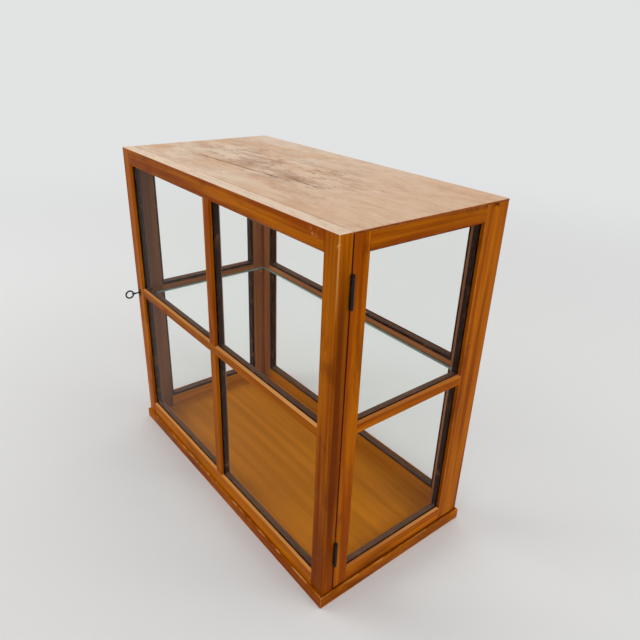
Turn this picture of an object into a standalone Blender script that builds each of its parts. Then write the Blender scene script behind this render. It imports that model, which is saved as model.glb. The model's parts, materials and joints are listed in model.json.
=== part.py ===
"""Tabletop display case: a glazed wooden cabinet with one full-width hinged door.

Run with: blender --background --python part.py

Metres, +Z up. The origin is the centre of the base board's underside, the door is the front (-Y),
and its hinges are on the right-hand edge (+X). Each glazed frame is drawn flat in its own
coordinates, x across it as seen from outside, y into its thickness and z up, and an empty turns it
into place. Its rails and mullions are coped over the moulding that they meet and tenoned into it.
"""

from dataclasses import dataclass
from math import asin, cos, pi, sin, sqrt

import bmesh
import bpy
from mathutils import Matrix, Vector

# Overall size: the case with its door, without the base board's overhang
CASE_WIDTH = 0.644
CASE_DEPTH = 0.326
CASE_HEIGHT = 0.620

# Boards
BASE_THICKNESS = 0.0215
BASE_OVERHANG = 0.0045
BASE_EDGE_RADIUS = 0.0025
TOP_THICKNESS = 0.009
TOP_EDGE_THICKNESS = 0.003

# Glazed frames: thickness, and the flat faces between the mouldings
DOOR_THICKNESS = 0.022
SIDE_THICKNESS = 0.022
BACK_THICKNESS = 0.020
FACE_WIDTH = 0.0275
REAR_POST_FACE = 0.050
BACK_STILE_FACE = 0.0256
MID_RAIL_FACE = 0.015
MULLION_FACE = 0.018
MID_RAIL_HEIGHT = 0.3255

# Section of the moulded and rebated edges
MOULDING = 0.0034
LIP = 0.0006
REBATE = 0.006
ARRIS = 0.0006

# Glass and the beads that hold it
GLASS_THICKNESS = 0.003
GLASS_EDGE_CLEARANCE = 0.001
BEAD_DEPTH = 0.0105
BEAD_SET_BACK = 0.0004
BEAD_CHAMFER = 0.0012

# Joints of the frames
TENON_THICKNESS = 0.006
TENON_SET_BACK = 0.0025
TENON_LENGTH = 0.018
STUB_TENON_LENGTH = 0.0042
TENON_SHOULDER = 0.002
HAUNCH = 0.006

# Clearances
JOINT_GAP = 0.0003
DOOR_GAP = 0.0008
DOOR_BOTTOM_CLEARANCE = 0.0010
OVERRUN = 0.004
MERGE_DISTANCE = 0.000005

# Glass shelf on four pins
SHELF_THICKNESS = 0.006
SHELF_BELOW_MID_RAIL = 0.005
SHELF_CLEARANCE = 0.0012
SHELF_FRONT_CLEARANCE = 0.004
SHELF_PIN_RADIUS = 0.0025
SHELF_PIN_REACH = 0.009
SHELF_PIN_DEPTH = 0.008
SHELF_PIN_INSET = 0.013

# Butt hinges
HINGE_LENGTH = 0.047
UPPER_HINGE_BELOW_TOP = 0.0765
LOWER_HINGE_ABOVE_BASE = 0.079
HINGE_KNUCKLE_COUNT = 5
KNUCKLE_RADIUS = 0.0027
KNUCKLE_CLEARANCE = 0.00045
LEAF_WIDTH = 0.0165
LEAF_THICKNESS = 0.0014
HINGE_PIN_RADIUS = 0.0012
HINGE_SCREW_COUNT = 3
HINGE_SCREW_END_DISTANCE = 0.008

# Screw holes of the hinge leaves and lock plates
FITTING_COUNTERSINK_RADIUS = 0.0029
FITTING_COUNTERSINK_DEPTH = 0.0010
FITTING_PILOT_RADIUS = 0.0014
FITTING_HOLE_DEPTH = 0.009

# Screw holes of the base board
BASE_COUNTERSINK_RADIUS = 0.0043
BASE_COUNTERSINK_DEPTH = 0.0034
BASE_PILOT_RADIUS = 0.0021
BASE_HOLE_DEPTH = 0.034
BASE_SCREW_END_DISTANCE = 0.060
SIDE_BASE_SCREW_COUNT = 2
BACK_BASE_SCREW_COUNT = 3

# Lock, turned by the key: a T-shaped tongue passes a slotted strike plate and turns behind it
LOCK_BELOW_MID_RAIL = 0.0035
LOCK_PLATE_WIDTH = 0.0165
LOCK_PLATE_HEIGHT = 0.040
LOCK_PLATE_THICKNESS = 0.0012
LOCK_SCREW_SPACING = 0.030
LOCK_SCREW_COUNT = 2
BARREL_RADIUS = 0.0072
BARREL_FRONT = 0.0070
BARREL_FRONT_WALL = 0.0012
PLUG_RADIUS = 0.0056
SPINDLE_RADIUS = 0.0021
TONGUE_LENGTH = 0.0135
TONGUE_WIDTH = 0.0042
TONGUE_THICKNESS = 0.0026
TONGUE_CLEARANCE = 0.0006
KEYHOLE_CLEARANCE = 0.0006

# Keyhole plate and key
KEYHOLE_PLATE_HEIGHT = 0.0155
KEYHOLE_PLATE_WIDTH = 0.0095
KEYHOLE_PLATE_THICKNESS = 0.0010
KEY_STEM_RADIUS = 0.0015
KEY_STEM_SHOWN = 0.0135
KEY_DEPTH_IN_PLUG = 0.0060
KEY_COLLAR_RADIUS = 0.0023
KEY_COLLAR_LENGTH = 0.0016
KEY_BOW_DIAMETER = 0.0188
KEY_BOW_WIRE_RADIUS = 0.0016
KEY_NUB_LENGTH = 0.0034
KEY_NUB_RADIUS = 0.0021
KEY_BIT_REACH = 0.0045
KEY_BIT_THICKNESS = 0.0018
KEY_BIT_LENGTH = 0.0042

# Facet counts
KNUCKLE_SIDES = 24
SCREW_HOLE_SIDES = 12
PIN_SIDES = 12
LOCK_SIDES = 24
BOW_STEPS = 40
BOW_SIDES = 12
OVAL_SIDES = 40
EDGE_ROUND_SEGMENTS = 3
ROUND_PROFILE_SHARE = 0.5

# Places worked out from the sizes above
FRONT = -CASE_DEPTH / 2
REAR = CASE_DEPTH / 2
DOOR_BACK = FRONT + DOOR_THICKNESS
CARCASS_FRONT = DOOR_BACK + DOOR_GAP
CARCASS_DEPTH = REAR - CARCASS_FRONT
FRAME_BOTTOM = BASE_THICKNESS + JOINT_GAP
FRAME_TOP = CASE_HEIGHT - TOP_EDGE_THICKNESS - JOINT_GAP
DOOR_BOTTOM = BASE_THICKNESS + DOOR_BOTTOM_CLEARANCE
UNDER_TOP_FACE = FACE_WIDTH - TOP_EDGE_THICKNESS
LIP_DEPTH = MOULDING + LIP
TENON_FRONT = LIP_DEPTH + TENON_SET_BACK
TENON_BACK = TENON_FRONT + TENON_THICKNESS
HINGE_OUT = KNUCKLE_RADIUS + KNUCKLE_CLEARANCE
HINGE_X = CASE_WIDTH / 2 + HINGE_OUT
HINGE_Y = DOOR_BACK + DOOR_GAP / 2
HINGE_HEIGHTS = {
    "upper": CASE_HEIGHT - UPPER_HINGE_BELOW_TOP,
    "lower": BASE_THICKNESS + LOWER_HINGE_ABOVE_BASE,
}
LOCK_X = -CASE_WIDTH / 2 + SIDE_THICKNESS / 2
LOCK_HEIGHT = MID_RAIL_HEIGHT - LOCK_BELOW_MID_RAIL
SHELF_TOP_HEIGHT = MID_RAIL_HEIGHT - SHELF_BELOW_MID_RAIL
INNER_HALF_WIDTH = CASE_WIDTH / 2 - SIDE_THICKNESS
BACK_INNER_FACE = REAR - BACK_THICKNESS

# Colours and finish: base colour, roughness, metallic
FINISHES = {
    "varnished_wood": ((0.42, 0.17, 0.03), 0.35, 0.0),
    "inner_wood": ((0.16, 0.06, 0.025), 0.55, 0.0),
    "worn_top": ((0.60, 0.43, 0.29), 0.70, 0.0),
    "dark_bead": ((0.03, 0.018, 0.013), 0.55, 0.0),
    "glass": ((0.85, 0.92, 0.88), 0.05, 0.0),
    "black_iron": ((0.015, 0.013, 0.012), 0.50, 0.9),
    "brass": ((0.55, 0.38, 0.12), 0.35, 1.0),
}

X_AXIS = Vector((1, 0, 0))
Y_AXIS = Vector((0, 1, 0))
Z_AXIS = Vector((0, 0, 1))


def clear_scene():
    for old in list(bpy.data.objects):
        bpy.data.objects.remove(old, do_unlink=True)


def finish_named(name):
    """The Principled material of that name, made on first use."""
    material = bpy.data.materials.get(name)
    if material is None:
        colour, roughness, metallic = FINISHES[name]
        material = bpy.data.materials.new(name)
        material.use_nodes = True
        shader = material.node_tree.nodes["Principled BSDF"]
        shader.inputs["Base Color"].default_value = (*colour, 1)
        shader.inputs["Roughness"].default_value = roughness
        shader.inputs["Metallic"].default_value = metallic
        if name == "glass":
            shader.inputs["Transmission Weight"].default_value = 1
    return material


def object_from(shape, name, finish=None):
    """Turn a bmesh into an object with outward faces; without a finish it is a hidden tool."""
    bmesh.ops.recalc_face_normals(shape, faces=shape.faces)
    mesh = bpy.data.meshes.new(name)
    shape.to_mesh(mesh)
    shape.free()
    piece = bpy.data.objects.new(name, mesh)
    bpy.context.scene.collection.objects.link(piece)
    if finish is None:
        piece.hide_render = True
        piece.display_type = "WIRE"
    else:
        mesh.materials.append(finish_named(finish))
    return piece


def empty(name, location, turn=0):
    mark = bpy.data.objects.new(name, None)
    mark.location = location
    mark.rotation_euler = (0, 0, turn)
    bpy.context.scene.collection.objects.link(mark)
    return mark


def add_prism(shape, outline, axis, start, end):
    """Extrude an outline along x, y or z; its points are (z, y), (x, z) or (x, y)."""
    place = {
        "x": lambda p, q, along: (along, q, p),
        "y": lambda p, q, along: (p, along, q),
        "z": lambda p, q, along: (p, q, along),
    }[axis]
    rim = [shape.verts.new(place(p, q, start)) for p, q in outline]
    cap = shape.faces.new(rim)
    grown = bmesh.ops.extrude_face_region(shape, geom=[cap])["geom"]
    corners = [item for item in grown if isinstance(item, bmesh.types.BMVert)]
    step = Vector(place(0, 0, end)) - Vector(place(0, 0, start))
    bmesh.ops.translate(shape, vec=step, verts=corners)
    bmesh.ops.remove_doubles(shape, verts=rim + corners, dist=MERGE_DISTANCE)


def prism(name, outline, axis, start, end, finish=None):
    shape = bmesh.new()
    add_prism(shape, outline, axis, start, end)
    return object_from(shape, name, finish)


def rectangle(left, right, low, high):
    return [(left, low), (right, low), (right, high), (left, high)]


def box(name, low, high, finish=None):
    outline = rectangle(low[0], high[0], low[1], high[1])
    return prism(name, outline, "z", low[2], high[2], finish)


def circle(radius, sides, centre=(0, 0)):
    angles = [2 * pi * step / sides for step in range(sides)]
    return [(centre[0] + radius * cos(a), centre[1] + radius * sin(a)) for a in angles]


def add_turned(shape, profile, sides, direction, start):
    """Revolve (radius, distance) points about an axis through start along direction."""
    part = bmesh.new()
    path = [part.verts.new((radius, 0, distance)) for radius, distance in profile]
    edges = [part.edges.new(pair) for pair in zip(path, path[1:])]
    bmesh.ops.spin(
        part, geom=path + edges, cent=(0, 0, 0), axis=Z_AXIS, angle=2 * pi, steps=sides, use_merge=True
    )
    bmesh.ops.remove_doubles(part, verts=part.verts, dist=MERGE_DISTANCE)
    part.transform(Matrix.Translation(start) @ Z_AXIS.rotation_difference(direction).to_matrix().to_4x4())
    mesh = bpy.data.meshes.new("turned")
    part.to_mesh(mesh)
    part.free()
    shape.from_mesh(mesh)
    bpy.data.meshes.remove(mesh)


def turned(name, profile, sides, direction, start, finish=None):
    shape = bmesh.new()
    add_turned(shape, profile, sides, direction, start)
    return object_from(shape, name, finish)


def rod_profile(radius, length):
    return [(0, 0), (radius, 0), (radius, length), (0, length)]


def combine(piece, tool, operation):
    """Cut the piece with a tool, or join the tool to it."""
    step = piece.modifiers.new(tool.name, "BOOLEAN")
    step.object = tool
    step.operation = operation
    step.solver = "EXACT"


def cut(piece, tool):
    combine(piece, tool, "DIFFERENCE")


def join(piece, tool):
    combine(piece, tool, "UNION")


def attach(piece, carrier, offset=(0, 0, 0)):
    piece.parent = carrier
    piece.location = offset


def shade_round(piece):
    piece.data.shade_smooth()
    piece.data.set_sharp_from_angle(angle=pi / 6)


# Glazed frames

@dataclass
class GlazedFrame:
    """One frame, drawn flat: x across it seen from outside, y inwards from its face, z up."""

    name: str
    width: float
    bottom: float
    top: float
    thickness: float
    left_face: float
    right_face: float
    top_face: float
    bottom_face: float
    has_mullion: bool
    carrier: bpy.types.Object
    offset: tuple

    @property
    def left(self):
        return -self.width / 2

    @property
    def right(self):
        return self.width / 2

    def rims(self):
        """Face width, outer edge and inward direction of the top and bottom rails."""
        return {"top": (self.top_face, self.top, -1), "bottom": (self.bottom_face, self.bottom, 1)}

    def openings(self):
        """Sight openings as (name, left, right, low, high)."""
        left = self.left + self.left_face + MOULDING
        right = self.right - self.right_face - MOULDING
        low = self.bottom + self.bottom_face + MOULDING
        high = self.top - self.top_face - MOULDING
        half_rail = MID_RAIL_FACE / 2 + MOULDING
        half_mullion = MULLION_FACE / 2 + MOULDING
        rows = [("upper", MID_RAIL_HEIGHT + half_rail, high), ("lower", low, MID_RAIL_HEIGHT - half_rail)]
        columns = [("", left, right)]
        if self.has_mullion:
            columns = [("left_", left, -half_mullion), ("right_", half_mullion, right)]
        return [
            (f"{row}_{column}", x_low, x_high, z_low, z_high)
            for row, z_low, z_high in rows
            for column, x_low, x_high in columns
        ]

    def place(self, piece):
        attach(piece, self.carrier, self.offset)
        return piece


def moulded_edge(face, thickness):
    """From the flat face round the bevel, lip and rebate to the back, as (across, depth)."""
    sight = face + MOULDING
    return [
        (face, 0),
        (sight, MOULDING),
        (sight, LIP_DEPTH),
        (sight - REBATE, LIP_DEPTH),
        (sight - REBATE, thickness),
    ]


def outer_section(face, thickness):
    """Section of a stile or rail at the rim of a frame, from its outer edge inwards."""
    return [(0, thickness), (0, ARRIS), (ARRIS, 0)] + moulded_edge(face, thickness)


def middle_section(face, thickness):
    """Section of a rail or mullion with glass on both sides, about its middle."""
    edge = moulded_edge(face / 2, thickness)
    return [(-across, depth) for across, depth in reversed(edge)] + edge


def cope_section(face, thickness):
    """The space round a moulded edge, out from it by the joint gap, for shaping what meets it."""
    sight = face + MOULDING + JOINT_GAP
    slope = face + JOINT_GAP * sqrt(2)
    return [
        (slope - OVERRUN, -OVERRUN),
        (sight, sight - slope),
        (sight, LIP_DEPTH + JOINT_GAP),
        (sight - REBATE, LIP_DEPTH + JOINT_GAP),
        (sight - REBATE, thickness + OVERRUN),
    ]


def outer_cope(face, thickness):
    edge = cope_section(face, thickness)
    return [(-OVERRUN - TENON_LENGTH, thickness + OVERRUN), (-OVERRUN - TENON_LENGTH, -OVERRUN)] + edge


def middle_cope(face, thickness):
    edge = cope_section(face / 2, thickness)
    return [(-across, depth) for across, depth in reversed(edge)] + edge


def shifted(outline, start, direction):
    """Move a section to start and point it to +1 or -1 across."""
    return [(start + direction * across, depth) for across, depth in outline]


def tenon(piece, frame, socket, axis, across, start, end):
    """Join a tenon to a rail or mullion, and cut its mortise, a joint gap wider, into the socket."""
    low, high = across
    gap = JOINT_GAP
    outline = rectangle(low, high, TENON_FRONT, TENON_BACK)
    join(piece, frame.place(prism(f"tenon_{piece.name}", outline, axis, start, end)))
    outline = rectangle(low - gap, high + gap, TENON_FRONT - gap, TENON_BACK + gap)
    bottom = end + (gap if end > start else -gap)
    cut(socket, frame.place(prism(f"mortise_{piece.name}", outline, axis, start, bottom)))


STILE_NAMES = {
    ("right_side", "left"): "right_side_front_stile",
    ("right_side", "right"): "right_side_rear_stile",
    ("left_side", "left"): "left_side_rear_stile",
    ("left_side", "right"): "left_side_front_stile",
}


def make_stiles(frame):
    stiles = []
    for side, start, direction, face in (
        ("left", frame.left, 1, frame.left_face),
        ("right", frame.right, -1, frame.right_face),
    ):
        outline = shifted(outer_section(face, frame.thickness), start, direction)
        name = STILE_NAMES.get((frame.name, side), f"{frame.name}_{side}_stile")
        stile = frame.place(prism(name, outline, "z", frame.bottom, frame.top, "varnished_wood"))
        cope_outline = shifted(outer_cope(face, frame.thickness), start, direction)
        cope = prism(f"cope_{name}", cope_outline, "z", frame.bottom - OVERRUN, frame.top + OVERRUN)
        stiles.append((stile, frame.place(cope)))
    return stiles


def make_rail(frame, row, stiles):
    """A rail from stile to stile; returns it with the tool that copes mullions over it."""
    name = f"{frame.name}_{row}_rail"
    if row == "mid":
        section, cope_form, face = middle_section, middle_cope, MID_RAIL_FACE
        start, direction, tenon_length = MID_RAIL_HEIGHT, 1, STUB_TENON_LENGTH
        half = face / 2 + MOULDING - REBATE - TENON_SHOULDER
        across = (start - half, start + half)
    else:
        section, cope_form, tenon_length = outer_section, outer_cope, TENON_LENGTH
        face, start, direction = frame.rims()[row]
        inner_edge = start + direction * (face + MOULDING - REBATE - TENON_SHOULDER)
        across = sorted((start + direction * HAUNCH, inner_edge))
    outline = shifted(section(face, frame.thickness), start, direction)
    cope_outline = shifted(cope_form(face, frame.thickness), start, direction)
    rail = frame.place(prism(name, outline, "x", frame.left, frame.right, "varnished_wood"))
    cope = frame.place(prism(f"cope_{name}", cope_outline, "x", frame.left, frame.right))
    walls = (
        frame.left + frame.left_face + MOULDING - REBATE,
        frame.right - frame.right_face - MOULDING + REBATE,
    )
    for stile, stile_cope in stiles:
        cut(rail, stile_cope)
    for (stile, stile_cope), wall, outward in zip(stiles, walls, (-1, 1)):
        inside = wall - outward * (JOINT_GAP + TENON_SHOULDER)
        tenon(rail, frame, stile, "x", across, inside, wall + outward * tenon_length)
    return rail, cope


def make_mullion(frame, row, low_rail, high_rail, walls):
    """An upright bar between two rails, with its ends at the walls of their rebates."""
    name = f"{frame.name}_{row}_mullion"
    outline = middle_section(MULLION_FACE, frame.thickness)
    low_end, high_end = walls[0] - REBATE / 2, walls[1] + REBATE / 2
    mullion = frame.place(prism(name, outline, "z", low_end, high_end, "varnished_wood"))
    half = MULLION_FACE / 2 + MOULDING - REBATE - TENON_SHOULDER
    for rail, cope in (low_rail, high_rail):
        cut(mullion, cope)
    for (rail, cope), wall, outward in zip((low_rail, high_rail), walls, (-1, 1)):
        inside = wall - outward * (JOINT_GAP + TENON_SHOULDER)
        tenon(mullion, frame, rail, "z", (-half, half), inside, wall + outward * STUB_TENON_LENGTH)


def make_pane(frame, name, sight, front):
    left, right, low, high = sight
    cover = REBATE - GLASS_EDGE_CLEARANCE
    near = (left - cover, front, low - cover)
    far = (right + cover, front + GLASS_THICKNESS, high + cover)
    frame.place(box(name, near, far, "glass"))


def make_bead(frame, name, sight, front):
    """The beads round a pane, as one ring in its rebate, chamfered towards the inside of the case."""
    left, right, low, high = sight
    outer = REBATE - JOINT_GAP
    shape = bmesh.new()
    rim = rectangle(left - outer, right + outer, low - outer, high + outer)
    middle = shape.faces.new([shape.verts.new((x, front, z)) for x, z in rim])
    middle.normal_update()
    ring = bmesh.ops.inset_region(
        shape, faces=[middle], thickness=outer - BEAD_SET_BACK, use_boundary=True, use_even_offset=True
    )["faces"]
    bmesh.ops.delete(shape, geom=[middle], context="FACES_ONLY")
    grown = bmesh.ops.extrude_face_region(shape, geom=ring)["geom"]
    rear = [item for item in grown if isinstance(item, bmesh.types.BMVert)]
    bmesh.ops.translate(shape, vec=Y_AXIS * BEAD_DEPTH, verts=rear)
    inner = {v for v in rear if left - outer / 2 < v.co.x < right + outer / 2}
    inner = {v for v in inner if low - outer / 2 < v.co.z < high + outer / 2}
    arris = [edge for edge in shape.edges if inner.issuperset(edge.verts)]
    bmesh.ops.bevel(
        shape, geom=arris, offset=BEAD_CHAMFER, segments=1, profile=ROUND_PROFILE_SHARE, affect="EDGES",
        material=-1,
    )
    frame.place(object_from(shape, name, "dark_bead"))


def glaze(frame):
    """A pane behind the lips of each opening, held by beads in the rebate."""
    glass_front = LIP_DEPTH + JOINT_GAP
    bead_front = glass_front + GLASS_THICKNESS + JOINT_GAP
    for name, *sight in frame.openings():
        make_pane(frame, f"{frame.name}_{name}pane", sight, glass_front)
        make_bead(frame, f"{frame.name}_{name}bead", sight, bead_front)


def build_frame(frame):
    """All pieces of one frame; returns its stiles and rails by name."""
    stiles = make_stiles(frame)
    rails = {row: make_rail(frame, row, stiles) for row in ("bottom", "mid", "top")}
    if frame.has_mullion:
        half_rail = MID_RAIL_FACE / 2 + MOULDING - REBATE
        bottom_wall = frame.bottom + frame.bottom_face + MOULDING - REBATE
        top_wall = frame.top - frame.top_face - MOULDING + REBATE
        lower_walls = (bottom_wall, MID_RAIL_HEIGHT - half_rail)
        upper_walls = (MID_RAIL_HEIGHT + half_rail, top_wall)
        make_mullion(frame, "lower", rails["bottom"], rails["mid"], lower_walls)
        make_mullion(frame, "upper", rails["mid"], rails["top"], upper_walls)
    glaze(frame)
    return {piece.name: piece for piece, cope in [*stiles, *rails.values()]}


def frame_layout(door_carrier):
    """The four glazed frames, each with the empty that turns it to its side of the case."""
    back_width = 2 * INNER_HALF_WIDTH - 2 * JOINT_GAP
    carcass_middle = (CARCASS_FRONT + REAR) / 2
    right = empty("right_side_place", (CASE_WIDTH / 2, carcass_middle, 0), pi / 2)
    left = empty("left_side_place", (-CASE_WIDTH / 2, carcass_middle, 0), -pi / 2)
    back = empty("back_place", (0, REAR, 0), pi)
    shared = {
        "bottom": FRAME_BOTTOM, "top": FRAME_TOP, "top_face": UNDER_TOP_FACE, "bottom_face": FACE_WIDTH,
    }
    return [
        GlazedFrame(
            name="door", width=CASE_WIDTH, bottom=DOOR_BOTTOM, top=CASE_HEIGHT, thickness=DOOR_THICKNESS,
            left_face=FACE_WIDTH, right_face=FACE_WIDTH, top_face=FACE_WIDTH,
            bottom_face=FACE_WIDTH - DOOR_BOTTOM_CLEARANCE, has_mullion=True,
            carrier=door_carrier, offset=(-HINGE_X, FRONT - HINGE_Y, 0),
        ),
        GlazedFrame(
            name="right_side", width=CARCASS_DEPTH, thickness=SIDE_THICKNESS, left_face=FACE_WIDTH,
            right_face=REAR_POST_FACE, has_mullion=False, carrier=right, offset=(0, 0, 0), **shared,
        ),
        GlazedFrame(
            name="left_side", width=CARCASS_DEPTH, thickness=SIDE_THICKNESS, left_face=REAR_POST_FACE,
            right_face=FACE_WIDTH, has_mullion=False, carrier=left, offset=(0, 0, 0), **shared,
        ),
        GlazedFrame(
            name="back", width=back_width, thickness=BACK_THICKNESS, left_face=BACK_STILE_FACE,
            right_face=BACK_STILE_FACE, has_mullion=False, carrier=back, offset=(0, 0, 0), **shared,
        ),
    ]


# Boards

def make_boards():
    """The base board with its eased upper edge, and the top board, rebated to sit between the frames."""
    half_width = CASE_WIDTH / 2 + BASE_OVERHANG
    shape = bmesh.new()
    outline = rectangle(-half_width, half_width, FRONT - BASE_OVERHANG, REAR + BASE_OVERHANG)
    add_prism(shape, outline, "z", 0, BASE_THICKNESS)
    upper = [edge for edge in shape.edges if all(v.co.z > BASE_THICKNESS / 2 for v in edge.verts)]
    bmesh.ops.bevel(
        shape, geom=upper, offset=BASE_EDGE_RADIUS, segments=EDGE_ROUND_SEGMENTS,
        profile=ROUND_PROFILE_SHARE, affect="EDGES", material=-1,
    )
    near = (-CASE_WIDTH / 2, CARCASS_FRONT, CASE_HEIGHT - TOP_THICKNESS)
    top = box("top_board", near, (CASE_WIDTH / 2, REAR, CASE_HEIGHT), "worn_top")
    inner, inner_rear = INNER_HALF_WIDTH - JOINT_GAP, BACK_INNER_FACE - JOINT_GAP
    outer, outer_rear = CASE_WIDTH / 2 + OVERRUN, REAR + OVERRUN
    front = CARCASS_FRONT - OVERRUN
    outline = [
        (-outer, front), (-inner, front), (-inner, inner_rear), (inner, inner_rear), (inner, front),
        (outer, front), (outer, outer_rear), (-outer, outer_rear),
    ]
    bottom = CASE_HEIGHT - TOP_THICKNESS - OVERRUN
    cut(top, prism("rebate_top_board", outline, "z", bottom, CASE_HEIGHT - TOP_EDGE_THICKNESS))
    return object_from(shape, "base_board", "inner_wood")


# Screw holes

def countersunk_profile(countersink_radius, countersink_depth, pilot_radius, depth):
    """A screw's hole from outside its mouth to its bottom."""
    return [
        (0, -OVERRUN),
        (countersink_radius, -OVERRUN),
        (countersink_radius, 0),
        (pilot_radius, countersink_depth),
        (pilot_radius, depth),
        (0, depth),
    ]


def drill(name, profile, places, direction, hosts, carrier=None):
    """Cut like screw holes, one at each place, in all that they pass through."""
    holes = bmesh.new()
    for place in places:
        add_turned(holes, profile, SCREW_HOLE_SIDES, direction, Vector(place))
    holes = object_from(holes, name)
    attach(holes, carrier)
    for host in hosts:
        cut(host, holes)


def spread(count, length):
    """Evenly spaced places over a length, about its middle."""
    if count == 1:
        return [0]
    return [length * (step / (count - 1) - 1 / 2) for step in range(count)]


def drill_base(base, frames):
    """Holes up through the base board into the bottom rails of the sides and the back."""
    places = []
    side_middle = (CARCASS_FRONT + REAR) / 2
    side_reach = CARCASS_DEPTH - 2 * BASE_SCREW_END_DISTANCE
    for side in (-1, 1):
        x = side * (CASE_WIDTH / 2 - SIDE_THICKNESS / 2)
        places += [(x, side_middle + y, 0) for y in spread(SIDE_BASE_SCREW_COUNT, side_reach)]
    back_reach = 2 * INNER_HALF_WIDTH - 2 * BASE_SCREW_END_DISTANCE
    y = REAR - BACK_THICKNESS / 2
    places += [(x, y, 0) for x in spread(BACK_BASE_SCREW_COUNT, back_reach)]
    rails = [frames[f"{name}_bottom_rail"] for name in ("left_side", "right_side", "back")]
    profile = countersunk_profile(
        BASE_COUNTERSINK_RADIUS, BASE_COUNTERSINK_DEPTH, BASE_PILOT_RADIUS, BASE_HOLE_DEPTH
    )
    drill("holes_base", profile, places, Z_AXIS, [base, *rails])


# Glass shelf

def make_shelf(frames):
    """A glass shelf level with the mid rails, on four pins let into the sides."""
    low = SHELF_TOP_HEIGHT - SHELF_THICKNESS
    half_width = INNER_HALF_WIDTH - SHELF_CLEARANCE
    front = DOOR_BACK + SHELF_FRONT_CLEARANCE
    rear = BACK_INNER_FACE - SHELF_CLEARANCE
    box("glass_shelf", (-half_width, front, low), (half_width, rear, SHELF_TOP_HEIGHT), "glass")

    z = low - JOINT_GAP - SHELF_PIN_RADIUS
    length = SHELF_PIN_DEPTH + SHELF_PIN_REACH
    rows = {"front": CARCASS_FRONT + SHELF_PIN_INSET, "rear": BACK_INNER_FACE - SHELF_PIN_INSET}
    for side, sign in (("left", -1), ("right", 1)):
        outward = X_AXIS * sign
        for row, y in rows.items():
            name = f"{side}_{row}_shelf_pin"
            tip = Vector((sign * (INNER_HALF_WIDTH - SHELF_PIN_REACH), y, z))
            profile = rod_profile(SHELF_PIN_RADIUS, length)
            shade_round(turned(name, profile, PIN_SIDES, outward, tip, "brass"))
            profile = rod_profile(SHELF_PIN_RADIUS + JOINT_GAP, length + JOINT_GAP)
            bore = turned(f"bore_{name}", profile, PIN_SIDES, outward, tip)
            cut(frames[f"{side}_side_{row}_stile"], bore)


# Hinges, each drawn about its pin: x outwards, y to the rear, z up from its middle

def knuckle_spans(first):
    """Lower and upper ends of every second knuckle, starting with the first or the next."""
    pitch = (HINGE_LENGTH + JOINT_GAP) / HINGE_KNUCKLE_COUNT
    starts = [step * pitch - HINGE_LENGTH / 2 for step in range(first, HINGE_KNUCKLE_COUNT, 2)]
    return [(start, start + pitch - JOINT_GAP) for start in starts]


def leaf_outline(first):
    """The leaf's plate seen square on, as (x, z), with a tab to each of its own knuckles."""
    root, notch, half = -HINGE_OUT - LEAF_WIDTH, -HINGE_OUT, HINGE_LENGTH / 2
    outline = [(root, -half), (notch, -half)]
    for low, high in knuckle_spans(first):
        outline += [(notch, low), (0, low), (0, high), (notch, high)]
    return outline + [(notch, half), (root, half)]


def hinge_leaf(name, first, carrier, height, near, far):
    """One leaf between two depths, with its knuckles bored for the pin."""
    leaf = prism(name, leaf_outline(first), "y", near, far, "black_iron")
    rolls = bmesh.new()
    for low, high in knuckle_spans(first):
        profile = rod_profile(KNUCKLE_RADIUS, high - low)
        add_turned(rolls, profile, KNUCKLE_SIDES, Z_AXIS, Vector((0, 0, low)))
    rolls = object_from(rolls, f"rolls_{name}")
    bore_profile = rod_profile(HINGE_PIN_RADIUS + JOINT_GAP, HINGE_LENGTH + 2 * OVERRUN)
    bore_start = Vector((0, 0, -HINGE_LENGTH / 2 - OVERRUN))
    bore = turned(f"bore_{name}", bore_profile, PIN_SIDES, Z_AXIS, bore_start)
    join(leaf, rolls)
    cut(leaf, bore)
    for item in (leaf, rolls, bore):
        attach(item, carrier, (0, 0, height))
    return leaf


def leaf_recess(name, carrier, height, near, far):
    """The shallow housing that a leaf is let into, a joint gap larger all round."""
    low = (-HINGE_OUT - LEAF_WIDTH - JOINT_GAP, near, -HINGE_LENGTH / 2 - JOINT_GAP)
    high = (0, far, HINGE_LENGTH / 2 + JOINT_GAP)
    recess = box(name, low, high)
    attach(recess, carrier, (0, 0, height))
    return recess


def make_hinges(frames, door_carrier, case_carrier):
    """Two butt hinges let into the door's back and the right side's front edge; returns their leaves."""
    near, far = DOOR_GAP / 2, DOOR_GAP / 2 + LEAF_THICKNESS
    door_stile, case_stile = frames["door_right_stile"], frames["right_side_front_stile"]
    door_leaves, case_leaves = [], []
    for row, height in HINGE_HEIGHTS.items():
        case_leaf = hinge_leaf(f"{row}_hinge_case_leaf", 0, case_carrier, height, near, far)
        door_leaf = hinge_leaf(f"{row}_hinge_door_leaf", 1, door_carrier, height, -far, -near)
        case_leaves.append(case_leaf)
        door_leaves.append(door_leaf)
        pin_profile = rod_profile(HINGE_PIN_RADIUS, HINGE_LENGTH)
        start = Vector((0, 0, -HINGE_LENGTH / 2))
        pin = turned(f"{row}_hinge_pin", pin_profile, PIN_SIDES, Z_AXIS, start, "black_iron")
        attach(pin, case_carrier, (0, 0, height))
        shade_round(pin)
        cut(case_stile, leaf_recess(f"recess_{row}_case", case_carrier, height, -near, far + JOINT_GAP))
        cut(door_stile, leaf_recess(f"recess_{row}_door", door_carrier, height, -far - JOINT_GAP, near))
    return door_leaves, case_leaves


# Lock and key, drawn about the key's axis: x to the right, y into the door, z up

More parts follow.
